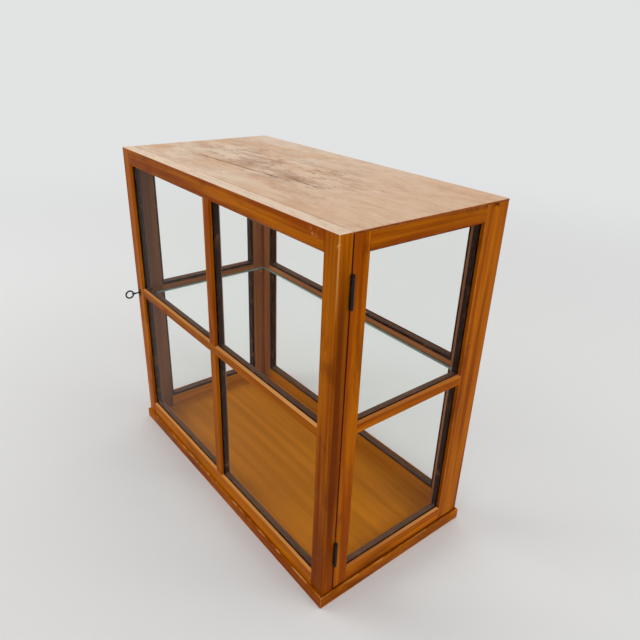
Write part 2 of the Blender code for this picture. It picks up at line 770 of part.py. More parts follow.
def keyhole(name, near, far):
    """Tool for the keyhole, a round hole with a slot below it for the bit."""
    radius = KEY_STEM_RADIUS + KEYHOLE_CLEARANCE
    slot_half = KEY_BIT_THICKNESS / 2 + KEYHOLE_CLEARANCE
    reach = KEY_BIT_REACH + KEYHOLE_CLEARANCE
    slot_angle = asin(slot_half / radius)
    sweep = 2 * pi - 2 * slot_angle
    angles = [slot_angle - pi / 2 + sweep * step / PIN_SIDES for step in range(PIN_SIDES + 1)]
    arc = [(radius * cos(angle), radius * sin(angle)) for angle in angles]
    return prism(name, [(slot_half, -reach), *arc, (-slot_half, -reach)], "y", near, far)


def lock_plate(name, near, far, finish):
    outline = rectangle(
        -LOCK_PLATE_WIDTH / 2, LOCK_PLATE_WIDTH / 2, -LOCK_PLATE_HEIGHT / 2, LOCK_PLATE_HEIGHT / 2
    )
    return prism(name, outline, "y", near, far, finish)


def plate_recess(name, near, far):
    half_width = LOCK_PLATE_WIDTH / 2 + JOINT_GAP
    half_height = LOCK_PLATE_HEIGHT / 2 + JOINT_GAP
    return prism(name, rectangle(-half_width, half_width, -half_height, half_height), "y", near, far)


def make_lock_case(carrier, stile):
    """Plate and barrel let into the back of the door's stile, with a screw hole above and below."""
    back = DOOR_THICKNESS
    plate_front = back - LOCK_PLATE_THICKNESS
    case = lock_plate("lock_case", plate_front, back, "black_iron")
    barrel = rod_profile(BARREL_RADIUS, plate_front - BARREL_FRONT + LOCK_PLATE_THICKNESS / 2)
    tools = {
        "barrel": turned("barrel_lock_case", barrel, LOCK_SIDES, Y_AXIS, Vector((0, BARREL_FRONT, 0))),
        "bore": turned(
            "bore_lock_case", rod_profile(PLUG_RADIUS + JOINT_GAP, DOOR_THICKNESS), LOCK_SIDES, Y_AXIS,
            Vector((0, BARREL_FRONT + BARREL_FRONT_WALL, 0)),
        ),
        "mouth": turned(
            "mouth_lock_case", rod_profile(KEY_BIT_REACH + JOINT_GAP, DOOR_THICKNESS / 2), LOCK_SIDES,
            Y_AXIS, Vector((0, BARREL_FRONT - OVERRUN, 0)),
        ),
        "mortise": turned(
            "mortise_lock_case", rod_profile(BARREL_RADIUS + JOINT_GAP, DOOR_THICKNESS), LOCK_SIDES,
            Y_AXIS, Vector((0, BARREL_FRONT - JOINT_GAP, 0)),
        ),
        "recess": plate_recess("recess_lock_case", plate_front - JOINT_GAP, back + OVERRUN),
        "keyhole": keyhole("keyhole_door", -OVERRUN, BARREL_FRONT),
    }
    join(case, tools["barrel"])
    cut(case, tools["bore"])
    cut(case, tools["mouth"])
    for name in ("mortise", "recess", "keyhole"):
        cut(stile, tools[name])
    for item in (case, *tools.values()):
        attach(item, carrier)
    return case


def make_strike(carrier, stile):
    """Slotted plate and pocket in the front edge of the left side."""
    front = DOOR_THICKNESS + DOOR_GAP
    plate_back = front + LOCK_PLATE_THICKNESS
    plate = lock_plate("strike_plate", front, plate_back, "black_iron")
    slot_half_width = TONGUE_WIDTH / 2 + TONGUE_CLEARANCE
    slot_half_height = TONGUE_LENGTH / 2 + TONGUE_CLEARANCE
    slot = prism(
        "slot_strike_plate",
        rectangle(-slot_half_width, slot_half_width, -slot_half_height, slot_half_height),
        "y", front - OVERRUN, plate_back + OVERRUN,
    )
    pocket_depth = LOCK_PLATE_THICKNESS + TONGUE_THICKNESS + 3 * TONGUE_CLEARANCE
    pocket = turned(
        "pocket_strike_plate", rod_profile(slot_half_height, pocket_depth + OVERRUN), LOCK_SIDES, Y_AXIS,
        Vector((0, front - OVERRUN, 0)),
    )
    recess = plate_recess("recess_strike_plate", front - OVERRUN, plate_back + JOINT_GAP)
    cut(plate, slot)
    for tool in (pocket, recess):
        cut(stile, tool)
    for item in (plate, slot, pocket, recess):
        attach(item, carrier)
    return plate


def make_plug(carrier):
    """The turning plug: bored for the key's stem and bit, with the T-shaped tongue behind."""
    front = BARREL_FRONT + BARREL_FRONT_WALL + JOINT_GAP
    plug_back = DOOR_THICKNESS - JOINT_GAP
    tongue_front = DOOR_THICKNESS + DOOR_GAP + LOCK_PLATE_THICKNESS + TONGUE_CLEARANCE
    tongue_back = tongue_front + TONGUE_THICKNESS
    profile = [
        (0, 0), (PLUG_RADIUS, 0), (PLUG_RADIUS, plug_back - front), (SPINDLE_RADIUS, plug_back - front),
        (SPINDLE_RADIUS, tongue_back - front - TONGUE_THICKNESS / 2),
        (0, tongue_back - front - TONGUE_THICKNESS / 2),
    ]
    plug = turned("lock_plug", profile, LOCK_SIDES, Y_AXIS, Vector((0, front, 0)), "black_iron")
    tongue = prism(
        "tongue_lock_plug",
        rectangle(-TONGUE_WIDTH / 2, TONGUE_WIDTH / 2, -TONGUE_LENGTH / 2, TONGUE_LENGTH / 2),
        "y", tongue_front, tongue_back,
    )
    depth = KEY_DEPTH_IN_PLUG + JOINT_GAP
    stem_hole = turned(
        "stem_hole_lock_plug", rod_profile(KEY_STEM_RADIUS + JOINT_GAP, depth + OVERRUN), PIN_SIDES,
        Y_AXIS, Vector((0, front - OVERRUN, 0)),
    )
    half = KEY_BIT_THICKNESS / 2 + JOINT_GAP
    bit_slot = prism(
        "bit_slot_lock_plug", rectangle(-half, half, -KEY_BIT_REACH - JOINT_GAP, -JOINT_GAP),
        "y", front - OVERRUN, front + depth,
    )
    join(plug, tongue)
    cut(plug, stem_hole)
    cut(plug, bit_slot)
    for item in (plug, tongue, stem_hole, bit_slot):
        attach(item, carrier)


def make_key(carrier):
    """Ring bow with a small inner nub, collar, stem and bit, standing out of the keyhole."""
    plug_front = BARREL_FRONT + BARREL_FRONT_WALL + JOINT_GAP
    bow_radius = KEY_BOW_DIAMETER / 2 - KEY_BOW_WIRE_RADIUS
    bow_centre = -KEY_STEM_SHOWN - KEY_BOW_DIAMETER / 2
    stem_start = bow_centre + bow_radius
    stem_end = plug_front + KEY_DEPTH_IN_PLUG
    collar_start = -KEY_STEM_SHOWN + KEY_BOW_WIRE_RADIUS / 2
    profile = [
        (0, -KEY_NUB_LENGTH), (KEY_NUB_RADIUS, -KEY_NUB_LENGTH / 3), (KEY_STEM_RADIUS, 0),
        (KEY_STEM_RADIUS, collar_start - stem_start), (KEY_COLLAR_RADIUS, collar_start - stem_start),
        (KEY_COLLAR_RADIUS, collar_start + KEY_COLLAR_LENGTH - stem_start),
        (KEY_STEM_RADIUS, collar_start + KEY_COLLAR_LENGTH - stem_start),
        (KEY_STEM_RADIUS, stem_end - stem_start), (0, stem_end - stem_start),
    ]
    key = turned("key", profile, PIN_SIDES, Y_AXIS, Vector((0, stem_start, 0)), "black_iron")

    bow = bmesh.new()
    section = circle(KEY_BOW_WIRE_RADIUS, BOW_SIDES, (bow_radius, 0))
    ring = [bow.verts.new((aside, bow_centre + across, 0)) for across, aside in section]
    hoop = [bow.edges.new(pair) for pair in zip(ring, ring[1:] + ring[:1])]
    bmesh.ops.spin(
        bow, geom=ring + hoop, cent=(0, bow_centre, 0), axis=X_AXIS, angle=2 * pi, steps=BOW_STEPS,
        use_merge=True,
    )
    bow = object_from(bow, "bow_key")

    half = KEY_BIT_THICKNESS / 2
    bit_front = stem_end - KEY_BIT_LENGTH
    bit = prism(
        "bit_key", rectangle(-half, half, -KEY_BIT_REACH, -KEY_STEM_RADIUS / 2), "y",
        bit_front - JOINT_GAP, stem_end - JOINT_GAP,
    )
    join(key, bow)
    join(key, bit)
    for item in (key, bow, bit):
        attach(item, carrier)
    shade_round(key)


def make_keyhole_plate(carrier):
    """Small oval plate round the keyhole."""
    oval = [
        (KEYHOLE_PLATE_WIDTH / 2 * x, KEYHOLE_PLATE_HEIGHT / 2 * z) for x, z in circle(1, OVAL_SIDES)
    ]
    front = -JOINT_GAP - KEYHOLE_PLATE_THICKNESS
    plate = prism("keyhole_plate", oval, "y", front, -JOINT_GAP, "black_iron")
    hole = keyhole("keyhole_keyhole_plate", -OVERRUN, OVERRUN)
    cut(plate, hole)
    for item in (plate, hole):
        attach(item, carrier)


def make_lock(frames, door_carrier):
    """The lock's pieces on the door, on the key's axis and in the left side; returns its plates."""
    door_place = empty("lock_place", (LOCK_X - HINGE_X, FRONT - HINGE_Y, LOCK_HEIGHT))
    door_place.parent = door_carrier
    key_axis = empty("key_axis", (LOCK_X - HINGE_X, FRONT - HINGE_Y, LOCK_HEIGHT))
    key_axis.parent = door_carrier
    strike_place = empty("strike_place", (LOCK_X, FRONT, LOCK_HEIGHT))
    make_keyhole_plate(door_place)
    make_plug(key_axis)
    make_key(key_axis)
    lock_case = make_lock_case(door_place, frames["door_left_stile"])
    return lock_case, make_strike(strike_place, frames["left_side_front_stile"])


def drill_fittings(frames, door_carrier, door_fittings, case_fittings):
    """Screw holes through the hinge leaves, lock plate and strike plate into the stiles."""
    hinge_x = HINGE_X - HINGE_OUT - LEAF_WIDTH / 2
    reach = HINGE_LENGTH - 2 * HINGE_SCREW_END_DISTANCE
    rises = spread(HINGE_SCREW_COUNT, reach)
    spots = [(hinge_x, height + z) for height in HINGE_HEIGHTS.values() for z in rises]
    spots += [(LOCK_X, LOCK_HEIGHT + z) for z in spread(LOCK_SCREW_COUNT, LOCK_SCREW_SPACING)]
    profile = countersunk_profile(
        FITTING_COUNTERSINK_RADIUS, FITTING_COUNTERSINK_DEPTH, FITTING_PILOT_RADIUS, FITTING_HOLE_DEPTH
    )
    door_hosts = [frames["door_left_stile"], frames["door_right_stile"], *door_fittings]
    door_places = [(x - HINGE_X, DOOR_BACK - HINGE_Y, z) for x, z in spots]
    drill("holes_door_fittings", profile, door_places, -Y_AXIS, door_hosts, door_carrier)
    case_hosts = [frames["left_side_front_stile"], frames["right_side_front_stile"], *case_fittings]
    case_places = [(x, CARCASS_FRONT, z) for x, z in spots]
    drill("holes_case_fittings", profile, case_places, Y_AXIS, case_hosts)


def main():
    clear_scene()
    door_axis = empty("door_hinge_axis", (HINGE_X, HINGE_Y, 0))
    case_hinge_place = empty("case_hinge_place", (HINGE_X, HINGE_Y, 0))
    base = make_boards()
    frames = {}
    for frame in frame_layout(door_axis):
        frames.update(build_frame(frame))
    drill_base(base, frames)
    make_shelf(frames)
    door_leaves, case_leaves = make_hinges(frames, door_axis, case_hinge_place)
    lock_case, strike_plate = make_lock(frames, door_axis)
    drill_fittings(frames, door_axis, [*door_leaves, lock_case], [*case_leaves, strike_plate])


main()
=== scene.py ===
"""Tabletop display case: the finishes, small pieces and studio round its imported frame.

Wooden pieces, fittings and the shelf stand for their plain CAD nodes with eased arrises. The panes and
their beads are the CAD nodes themselves. Screws fill the holes that the frame leaves for them. Every
finish is made of shader nodes on Object coordinates.
"""

import json
from collections import namedtuple
from math import cos, radians, sin, tau

import bmesh
import bpy
from bpy.props import FloatProperty, FloatVectorProperty, PointerProperty
from mathutils import Matrix, Quaternion, Vector


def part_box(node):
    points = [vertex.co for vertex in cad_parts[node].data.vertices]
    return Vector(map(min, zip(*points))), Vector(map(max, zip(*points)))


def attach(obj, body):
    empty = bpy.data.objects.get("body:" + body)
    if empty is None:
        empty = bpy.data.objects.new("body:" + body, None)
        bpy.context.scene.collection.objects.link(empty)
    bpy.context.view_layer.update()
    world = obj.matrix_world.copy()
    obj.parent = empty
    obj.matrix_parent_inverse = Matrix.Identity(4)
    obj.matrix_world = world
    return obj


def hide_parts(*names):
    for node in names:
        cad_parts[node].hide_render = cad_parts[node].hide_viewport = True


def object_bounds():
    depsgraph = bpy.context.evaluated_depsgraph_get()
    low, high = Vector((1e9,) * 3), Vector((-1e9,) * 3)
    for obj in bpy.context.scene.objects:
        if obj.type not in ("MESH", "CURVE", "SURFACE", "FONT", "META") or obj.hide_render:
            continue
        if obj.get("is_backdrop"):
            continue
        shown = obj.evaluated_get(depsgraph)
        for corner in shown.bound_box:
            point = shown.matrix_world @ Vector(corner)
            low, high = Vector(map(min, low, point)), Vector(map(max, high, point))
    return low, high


bl_info = {
    "name": "Tabletop display case",
    "version": (1, 0, 0),
    "blender": (4, 5, 0),
    "location": "View3D > Sidebar > Display case",
    "description": "Varnished wood, glass, iron fittings and a plain studio for a glazed display case",
    "category": "Object",
}

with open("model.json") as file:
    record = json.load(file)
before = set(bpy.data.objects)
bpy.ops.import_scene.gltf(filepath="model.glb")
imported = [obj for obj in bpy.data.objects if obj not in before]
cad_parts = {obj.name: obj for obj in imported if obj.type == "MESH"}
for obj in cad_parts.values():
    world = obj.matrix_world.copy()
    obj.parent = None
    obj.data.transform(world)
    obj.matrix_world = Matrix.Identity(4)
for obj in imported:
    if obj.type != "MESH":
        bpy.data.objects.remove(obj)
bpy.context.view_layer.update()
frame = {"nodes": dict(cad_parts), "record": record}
NODES = frame["nodes"]
BODIES = frame["record"]["behaviour"]["bodies"]
BODY_OF = {node: body for body, members in BODIES.items() for node in members}

# Faces of the case, read from the frame
CASE_LEFT, DOOR_FRONT, DOOR_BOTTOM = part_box("door_left_stile")[0]
CASE_RIGHT, DOOR_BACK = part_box("door_right_stile")[1].xy
CARCASS_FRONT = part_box("top_board")[0].y
REAR, CASE_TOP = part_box("top_board")[1].yz
FRAME_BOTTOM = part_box("right_side_front_stile")[0].z
BASE_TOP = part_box("base_board")[1].z
LIP_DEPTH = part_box("door_lower_left_pane")[0].y - DOOR_FRONT

# Width of a frame's moulding, and how far the frames cover their panes
MOULDING = 0.0034
PANE_OVERLAP = 0.005

# Distance and angle within which points are welded and directions agree
WELD = 0.00001
FLAT_ANGLE = radians(0.5)

# Least angle and length of the edges that get an arris, and the faces across it
ARRIS_ANGLE = radians(30)
METAL_ARRIS_ANGLE = radians(50)
LONG_ARRIS = 0.06
ARRIS_SEGMENTS = 2
PLATE_SEGMENTS = 3

# Least angle of an edge that looks sharp on metal
SHARP_ANGLE = radians(35)

# Depth of a mark on a face, and a distance past the case on every side
SKIN = 0.0006
FAR = 2.0

Y_AXIS = Vector((0, 1, 0))
Z_AXIS = Vector((0, 0, 1))
AXES = {"x": Vector((1, 0, 0)), "y": Y_AXIS, "z": Z_AXIS}


def colour_setting(name, description, default):
    return FloatVectorProperty(
        name=name, description=description, subtype="COLOR", default=default, min=0, max=1
    )


def length_setting(name, description, default):
    return FloatProperty(
        name=name, description=description, subtype="DISTANCE", unit="LENGTH", default=default, min=0
    )


def angle_setting(name, description, default):
    return FloatProperty(
        name=name, description=description, subtype="ANGLE", unit="ROTATION", default=radians(default)
    )


class WoodSettings(bpy.types.PropertyGroup):
    honey: colour_setting("Honey", "Light streaks of the varnished wood", (0.54, 0.15, 0.0006))
    amber: colour_setting("Amber", "Dark streaks of the varnished wood", (0.295, 0.055, 0.0002))
    red_brown: colour_setting("Red brown", "Dark patches of the varnish", (0.11, 0.017, 0.001))
    # Also the colour of painted highlights on upper bevels, arrises and faces that look up
    bare: colour_setting("Bare wood", "Wood where the varnish has worn off", (0.82, 0.4, 0.13))
    # Also painted shade in the seams with the base board and in the gap round the door
    grime_and_shade: colour_setting("Grime", "Dirt and old polish in seams and along edges", (0.036, 0.005, 0.001))
    stain: colour_setting("Inner stain", "Stain inside the case", (0.52, 0.2, 0.07))
    floor: colour_setting("Base board", "Inside of the base board and bottom rails", (0.56, 0.185, 0.006))
    bead: colour_setting("Beads", "Stain of the glazing beads", (0.03, 0.014, 0.01))
    arris: length_setting("Arris", "Rounding of the wooden pieces' long edges", 0.0006)
    board_arris: length_setting("Board arris", "Rounding of the top board's edges", 0.0008)


class TopSettings(bpy.types.PropertyGroup):
    pale: colour_setting("Pale", "Scrubbed wood of the top", (0.8, 0.64, 0.49))
    warm: colour_setting("Warm", "Warmer parts of the top", (0.68, 0.42, 0.25))
    scuff: colour_setting("Scuff", "Dark scuffs and old stains", (0.34, 0.152, 0.074))
    edge: colour_setting("Door edge", "Scrubbed top edge of the door", (0.88, 0.66, 0.49))
    crack_width: length_setting("Crack width", "Width of the cracks in the top board", 0.0024)
    crack_depth: length_setting("Crack depth", "Depth of the cracks in the top board", 0.0022)


class GlassSettings(bpy.types.PropertyGroup):
    tint: colour_setting("Tint", "Colour of the glass", (0.982, 0.994, 0.983))
    ior: FloatProperty(name="Glass IOR", description="How strongly the glass mirrors", default=1.06, min=1)
    edge: colour_setting("Edge", "Greenish ground edge of the glass shelf", (0.33, 0.46, 0.4))
    arris: length_setting("Arris", "Rounding of the glass shelf's edges", 0.0008)


class IronSettings(bpy.types.PropertyGroup):
    black: colour_setting("Black", "Blackened iron", (0.009, 0.007, 0.006))
    rust: colour_setting("Rust", "Brown bloom on the iron", (0.034, 0.015, 0.009))
    plate: colour_setting("Keyhole plate", "Browned iron of the keyhole plate", (0.04, 0.01, 0.003))
    brass: colour_setting("Brass", "Shelf pins", (0.52, 0.36, 0.13))
    arris: length_setting("Arris", "Rounding of the fittings' edges", 0.00015)
    plate_arris: length_setting("Plate arris", "Rounding of the keyhole plate", 0.0004)
    head_gap: length_setting("Head gap", "How far the screw heads lie below the surface", 0.0001)


class StudioSettings(bpy.types.PropertyGroup):
    floor: colour_setting("Floor", "Pale floor", (0.8, 0.8, 0.795))
    backdrop: colour_setting("Backdrop", "Pale background far from the case", (0.76, 0.765, 0.77))
    ambient: FloatProperty(
        name="Ambient", description="Strength of the even light from all round", default=0.74, min=0
    )
    eye: FloatVectorProperty(
        name="Camera place", description="Where the camera stands", subtype="TRANSLATION",
        unit="LENGTH", default=(0.8084, -0.5871, 0.8247),
    )
    azimuth: angle_setting("Azimuth", "Camera's turn from straight before the door to the right", 50.59)
    elevation: angle_setting("Elevation", "Angle that the camera looks down", 25.95)
    roll: angle_setting("Roll", "Camera's roll", 2.21)
    lens: FloatProperty(name="Lens", description="Focal length in millimetres", default=32.9, min=1)


# Shader nodes

# Sockets of a Mix node for colours: mask, both colours and result
MIX_MASK, MIX_FIRST, MIX_SECOND, MIX_RESULT = 0, 6, 7, 2


def connect(tree, socket, value):
    """Give a socket a value, a colour or another node's output."""
    if isinstance(value, bpy.types.NodeSocket):
        tree.links.new(value, socket)
    elif socket.type == "RGBA":
        socket.default_value = (*value, 1)
    else:
        socket.default_value = value


def add_node(tree, kind, inputs=None, **settings):
    """Add a node to the tree; inputs maps its sockets to values or to other nodes' outputs."""
    made = tree.nodes.new(f"ShaderNode{kind}")
    for name, value in settings.items():
        setattr(made, name, value)
    for socket, value in (inputs or {}).items():
        connect(tree, made.inputs[socket], value)
    return made


def maths(tree, operation, first, second=0.0):
    return add_node(tree, "Math", {0: first, 1: second}, operation=operation).outputs[0]


def vector_maths(tree, operation, first, second):
    return add_node(tree, "VectorMath", {0: first, 1: second}, operation=operation).outputs[0]


def coordinates(tree, vector):
    return add_node(tree, "SeparateXYZ", {0: vector}).outputs


def face_direction(tree):
    """The x, y and z of the direction that a face looks in."""
    return coordinates(tree, add_node(tree, "NewGeometry").outputs["True Normal"])


def add_share(tree, value, mask, share):
    """The value plus a share of the mask."""
    return maths(tree, "ADD", value, maths(tree, "MULTIPLY", mask, share))


def blend_colours(tree, mask, first, second):
    inputs = {MIX_MASK: mask, MIX_FIRST: first, MIX_SECOND: second}
    return add_node(tree, "Mix", inputs, data_type="RGBA").outputs[MIX_RESULT]


def overlay(tree, colour, paint, mask, strength):
    """The colour with paint over it where the mask is, at most as strong as given."""
    return blend_colours(tree, maths(tree, "MULTIPLY", mask, strength), colour, paint)


def shade(colour, share):
    return [channel * share for channel in colour]


def ramp(tree, value, low, high, to_low=0.0, to_high=1.0):
    """A value stretched from low..high to to_low..to_high, softly."""
    inputs = {"Value": value, "From Min": low, "From Max": high, "To Min": to_low, "To Max": to_high}
    return add_node(tree, "MapRange", inputs, interpolation_type="SMOOTHSTEP").outputs["Result"]


def above_threshold(tree, value, share, highest, reach, softness):
    """1 where the value is above a threshold, which falls as the share grows."""
    low = maths(tree, "SUBTRACT", highest, maths(tree, "MULTIPLY", share, reach))
    return ramp(tree, value, low, maths(tree, "ADD", low, softness))


def noise(tree, vector, scale, detail, roughness=0.5, distortion=0.0):
    inputs = {
        "Vector": vector, "Scale": scale, "Detail": detail, "Roughness": roughness,
        "Distortion": distortion,
    }
    return add_node(tree, "TexNoise", inputs).outputs["Fac"]


def stretched_noise(tree, vector, along, across, detail, roughness=0.5):
    stretched = vector_maths(tree, "MULTIPLY", vector, (along, across, across))
    return noise(tree, stretched, 1.0, detail, roughness)


def clouds(tree, place, scale, low, high):
    """A value that drifts between low and high."""
    return ramp(tree, noise(tree, place, scale, 4.0), 0.3, 0.7, low, high)


def bump(tree, height, strength, distance):
    inputs = {"Height": height, "Strength": strength, "Distance": distance}
    return add_node(tree, "Bump", inputs).outputs[0]


def start_material(name):
    """A new material; returns it with its tree, its Principled shader and the place on the object."""
    material = bpy.data.materials.new(name)
    material.use_nodes = True
    tree = material.node_tree
    return material, tree, tree.nodes["Principled BSDF"], add_node(tree, "TexCoord").outputs["Object"]


def set_inputs(shader, **values):
    """Set a shader node's sockets; underscores in the names stand for spaces."""
    for name, value in values.items():
        connect(shader.id_data, shader.inputs[name.replace("_", " ")], value)


def show_mix(tree, mask, first, second, output="Material Output"):
    """Show the first shader, and the second where the mask is."""
    mixed = add_node(tree, "MixShader", {0: mask, 1: first, 2: second}).outputs[0]
    tree.links.new(mixed, tree.nodes[output].inputs["Surface"])


# Node groups

# Noise of wood grain: scale along and across it, detail, roughness, and the range shown
GRAIN_LAYERS = {
    "Figure": (2.2, 70.0, 4.0, 0.6, 0.36, 0.64),
    "Fibre": (5.0, 260.0, 3.0, 0.6, 0.38, 0.66),
    "Pores": (28.0, 950.0, 2.0, 0.5, 0.6, 0.7),
}

# Noise that bends the grain: its scale along and across, and its detail
GRAIN_BENDS = (3.5, 7.0, 1.0)

# Noise that breaks up the wear of edges: scale, detail, roughness and share
WEAR_LAYERS = ((38.0, 5.0, 0.65, 0.75), (420.0, 3.0, 0.6, 0.25))

# Agreement of a face with its rounded self at which wear begins and is full
WEAR_BEND = (0.995, 0.9)

# How softly a box ends along x, y and z unless it is told
SOFT_MARGIN = (0.0004, 0.0004, 0.0004)

# The top's grain, its warm streaks with the range shown, and how its warmth grows with x
TOP_GRAIN = {"Seed": 5.3, "Wander": 0.03}
TOP_STREAKS = (5.0, 11.0, 5.0, 0.62)
TOP_STREAK_RANGE = (0.38, 0.62)
TOP_WARMTH = (-0.2, 0.34, 0.15, 0.75)
STAIN_STRETCH = (1.0, 2.3, 1.0)

# Scale and cover of each size of stain on the top, and its strength everywhere and round the cracks
TOP_STAINS = (
    (8.0, 0.66, 0.06, 0.42), (19.0, 0.58, 0.16, 0.34), (48.0, 0.46, 0.22, 0.4), (95.0, 0.24, 0.5, 0.3),
)


def start_group(name, inputs, outputs):
    """A new node group that is given a place; returns it, the place, and its sockets to read and fill."""
    group = bpy.data.node_groups.new(name, "ShaderNodeTree")
    group.interface.new_socket("Vector", in_out="INPUT", socket_type="NodeSocketVector")
    for label, kind, default in inputs:
        socket = group.interface.new_socket(label, in_out="INPUT", socket_type=f"NodeSocket{kind}")
        socket.default_value = default
    for label, kind in outputs:
        group.interface.new_socket(label, in_out="OUTPUT", socket_type=f"NodeSocket{kind}")
    given = group.nodes.new("NodeGroupInput").outputs
    return group, given["Vector"], given, group.nodes.new("NodeGroupOutput").inputs


def wood_grain_group():
    """Streaks, growth lines and open pores of wood whose grain runs along the vector's first axis."""
    inputs = [("Seed", "Float", 0.0), ("Wander", "Float", 0.01)]
    outputs = [(name, "Float") for name in GRAIN_LAYERS]
    group, place, given, made = start_group("wood_grain", inputs, outputs)
    shift = add_node(group, "CombineXYZ", {axis: given["Seed"] for axis in range(3)}).outputs[0]
    place = vector_maths(group, "ADD", place, shift)
    sway = maths(group, "MULTIPLY", stretched_noise(group, place, *GRAIN_BENDS), given["Wander"])
    bend = add_node(group, "CombineXYZ", {1: sway, 2: sway}).outputs[0]
    place = vector_maths(group, "ADD", place, bend)
    for name, (along, across, detail, roughness, low, high) in GRAIN_LAYERS.items():
        layer = stretched_noise(group, place, along, across, detail, roughness)
        group.links.new(ramp(group, layer, low, high), made[name])
    return group


def patches_group():
    """Soft irregular patches, such as thick varnish, grime or old stains."""
    inputs = [("Scale", "Float", 10.0), ("Cover", "Float", 0.5)]
    group, place, given, made = start_group("patches", inputs, [("Mask", "Float")])
    cloud = noise(group, place, given["Scale"], detail=5.0, roughness=0.62, distortion=0.4)
    mask = above_threshold(group, cloud, given["Cover"], highest=0.72, reach=0.4, softness=0.16)
    group.links.new(mask, made["Mask"])
    return group


def edge_wear_group():
    """Rubbed arrises: strongest where the surface bends within the radius, broken up by noise."""
    inputs = [("Radius", "Float", 0.002), ("Amount", "Float", 0.6)]
    group, place, given, made = start_group("edge_wear", inputs, [("Wear", "Float")])
    rounded = add_node(group, "Bevel", {"Radius": given["Radius"]}, samples=6).outputs[0]
    flat = add_node(group, "NewGeometry").outputs["True Normal"]
    agreement = add_node(group, "VectorMath", {0: rounded, 1: flat}, operation="DOT_PRODUCT")
    bend = ramp(group, agreement.outputs["Value"], *WEAR_BEND)
    layers = [
        maths(group, "MULTIPLY", noise(group, place, scale, detail, roughness), share)
        for scale, detail, roughness, share in WEAR_LAYERS
    ]
    mixed = maths(group, "ADD", *layers)
    kept = above_threshold(group, mixed, given["Amount"], highest=0.75, reach=0.5, softness=0.14)
    group.links.new(maths(group, "MULTIPLY", bend, kept), made["Wear"])
    return group


def inside_box_group():
    """1 inside a box of the given corners, falling to 0 over the soft margin inside each face."""
    defaults = {"Low": (0, 0, 0), "High": (1, 1, 1), "Soft": SOFT_MARGIN}
    inputs = [(label, "Vector", default) for label, default in defaults.items()]
    group, place, given, made = start_group("inside_box", inputs, [("Mask", "Float")])
    above = vector_maths(group, "SUBTRACT", place, given["Low"])
    below = vector_maths(group, "SUBTRACT", given["High"], place)
    nearest = vector_maths(group, "DIVIDE", vector_maths(group, "MINIMUM", above, below), given["Soft"])
    x, y, z = coordinates(group, nearest)
    least = maths(group, "MINIMUM", maths(group, "MINIMUM", x, y), z)
    group.links.new(add_node(group, "MapRange", {"Value": least}).outputs["Result"], made["Mask"])
    return group


def scrubbed_top_group():
    """Scrubbed wood: pale and warm streaks, scuffs along the grain, and old stains round the cracks."""
    inputs = [(label, "Color", (1, 1, 1, 1)) for label in ("Pale", "Warm", "Scuff")]
    outputs = [("Color", "Color"), ("Height", "Float")]
    group, place, given, made = start_group("scrubbed_top", inputs, outputs)
    grain = use_group(group, "wood_grain", place, **TOP_GRAIN)
    streaks = ramp(group, stretched_noise(group, place, *TOP_STREAKS), *TOP_STREAK_RANGE)
    to_the_right = ramp(group, coordinates(group, place)[0], *TOP_WARMTH)
    warmth = maths(group, "MAXIMUM", maths(group, "MULTIPLY", streaks, 0.9), to_the_right)
    colour = blend_colours(group, warmth, given["Pale"], given["Warm"])
    colour = overlay(group, colour, given["Pale"], grain["Figure"], 0.22)
    colour = overlay(group, colour, given["Scuff"], grain["Fibre"], 0.14)
    long_place = vector_maths(group, "MULTIPLY", place, STAIN_STRETCH)
    around = inside_box(group, place, STAINED_AREA, STAINED_SOFT)
    for scale, cover, everywhere, stained in TOP_STAINS:
        strength = add_share(group, everywhere, around, stained)
        colour = overlay(group, colour, given["Scuff"], patches(group, long_place, scale, cover), strength)
    group.links.new(colour, made["Color"])
    group.links.new(grain["Fibre"], made["Height"])
    return group


GROUP_MAKERS = {
    "wood_grain": wood_grain_group,
    "patches": patches_group,
    "edge_wear": edge_wear_group,
    "inside_box": inside_box_group,
    "scrubbed_top": scrubbed_top_group,
}


def use_group(tree, name, place, **inputs):
    """Put a group in the tree, made if this is its first use; returns its outputs."""
    group = bpy.data.node_groups.get(name) or GROUP_MAKERS[name]()
    return add_node(tree, "Group", {"Vector": place, **inputs}, node_tree=group).outputs


def patches(tree, place, scale, cover):
    return use_group(tree, "patches", place, Scale=scale, Cover=cover)["Mask"]


def edge_wear(tree, place, radius, amount):
    return use_group(tree, "edge_wear", place, Radius=radius, Amount=amount)["Wear"]


def inside_box(tree, place, box, soft=SOFT_MARGIN):
    return use_group(tree, "inside_box", place, Low=box[0], High=box[1], Soft=soft)["Mask"]


# Regions and local wear

Mark = namedtuple("Mark", "paint strength soft box patch")


def region(x=(-FAR, FAR), y=(-FAR, FAR), z=(-FAR, FAR)):
    """Low and high corners of a box that is open wherever no span is given."""
    return tuple(zip(x, y, z))


def mark(paint, strength, soft, patch=None, **spans):
    """Paint over a region that ends softly along each axis; patch is the scale of its broken cover."""
    return Mark(paint, strength, soft, region(**spans), patch)


def bevel_highlight(node, strength, start=-FAR, along="x"):
    """A painted highlight on a rail's upper bevel, from a start along the rail."""
    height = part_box(node)[1].z - MOULDING - SKIN / 2
    spans = {along: (start, FAR), "z": (height, FAR)}
    return mark("bare", strength, (0.2, 0.1, SKIN / 2), **spans)


def nick(y, z):
    """A small nick in a stile of the right side."""
    return mark(
        "bare", 0.55, (SKIN / 2, 0.0015, 0.001), 210.0, x=RIGHT_FACE, y=(y - 0.003, y + 0.003),
        z=(z - 0.0012, z + 0.0012),
    )


CRISP = (SKIN, SKIN, SKIN)
FRONT_FACE = (-FAR, DOOR_FRONT + SKIN)
RIGHT_FACE = (CASE_RIGHT - SKIN, FAR)
TOP_FACE = region(z=(CASE_TOP - SKIN, FAR))
BASE_RIM = (BASE_TOP - 0.0018, FAR)
BASE_FLOOR = region(x=(CASE_LEFT, CASE_RIGHT), y=(DOOR_FRONT, REAR), z=(BASE_TOP - SKIN, FAR))

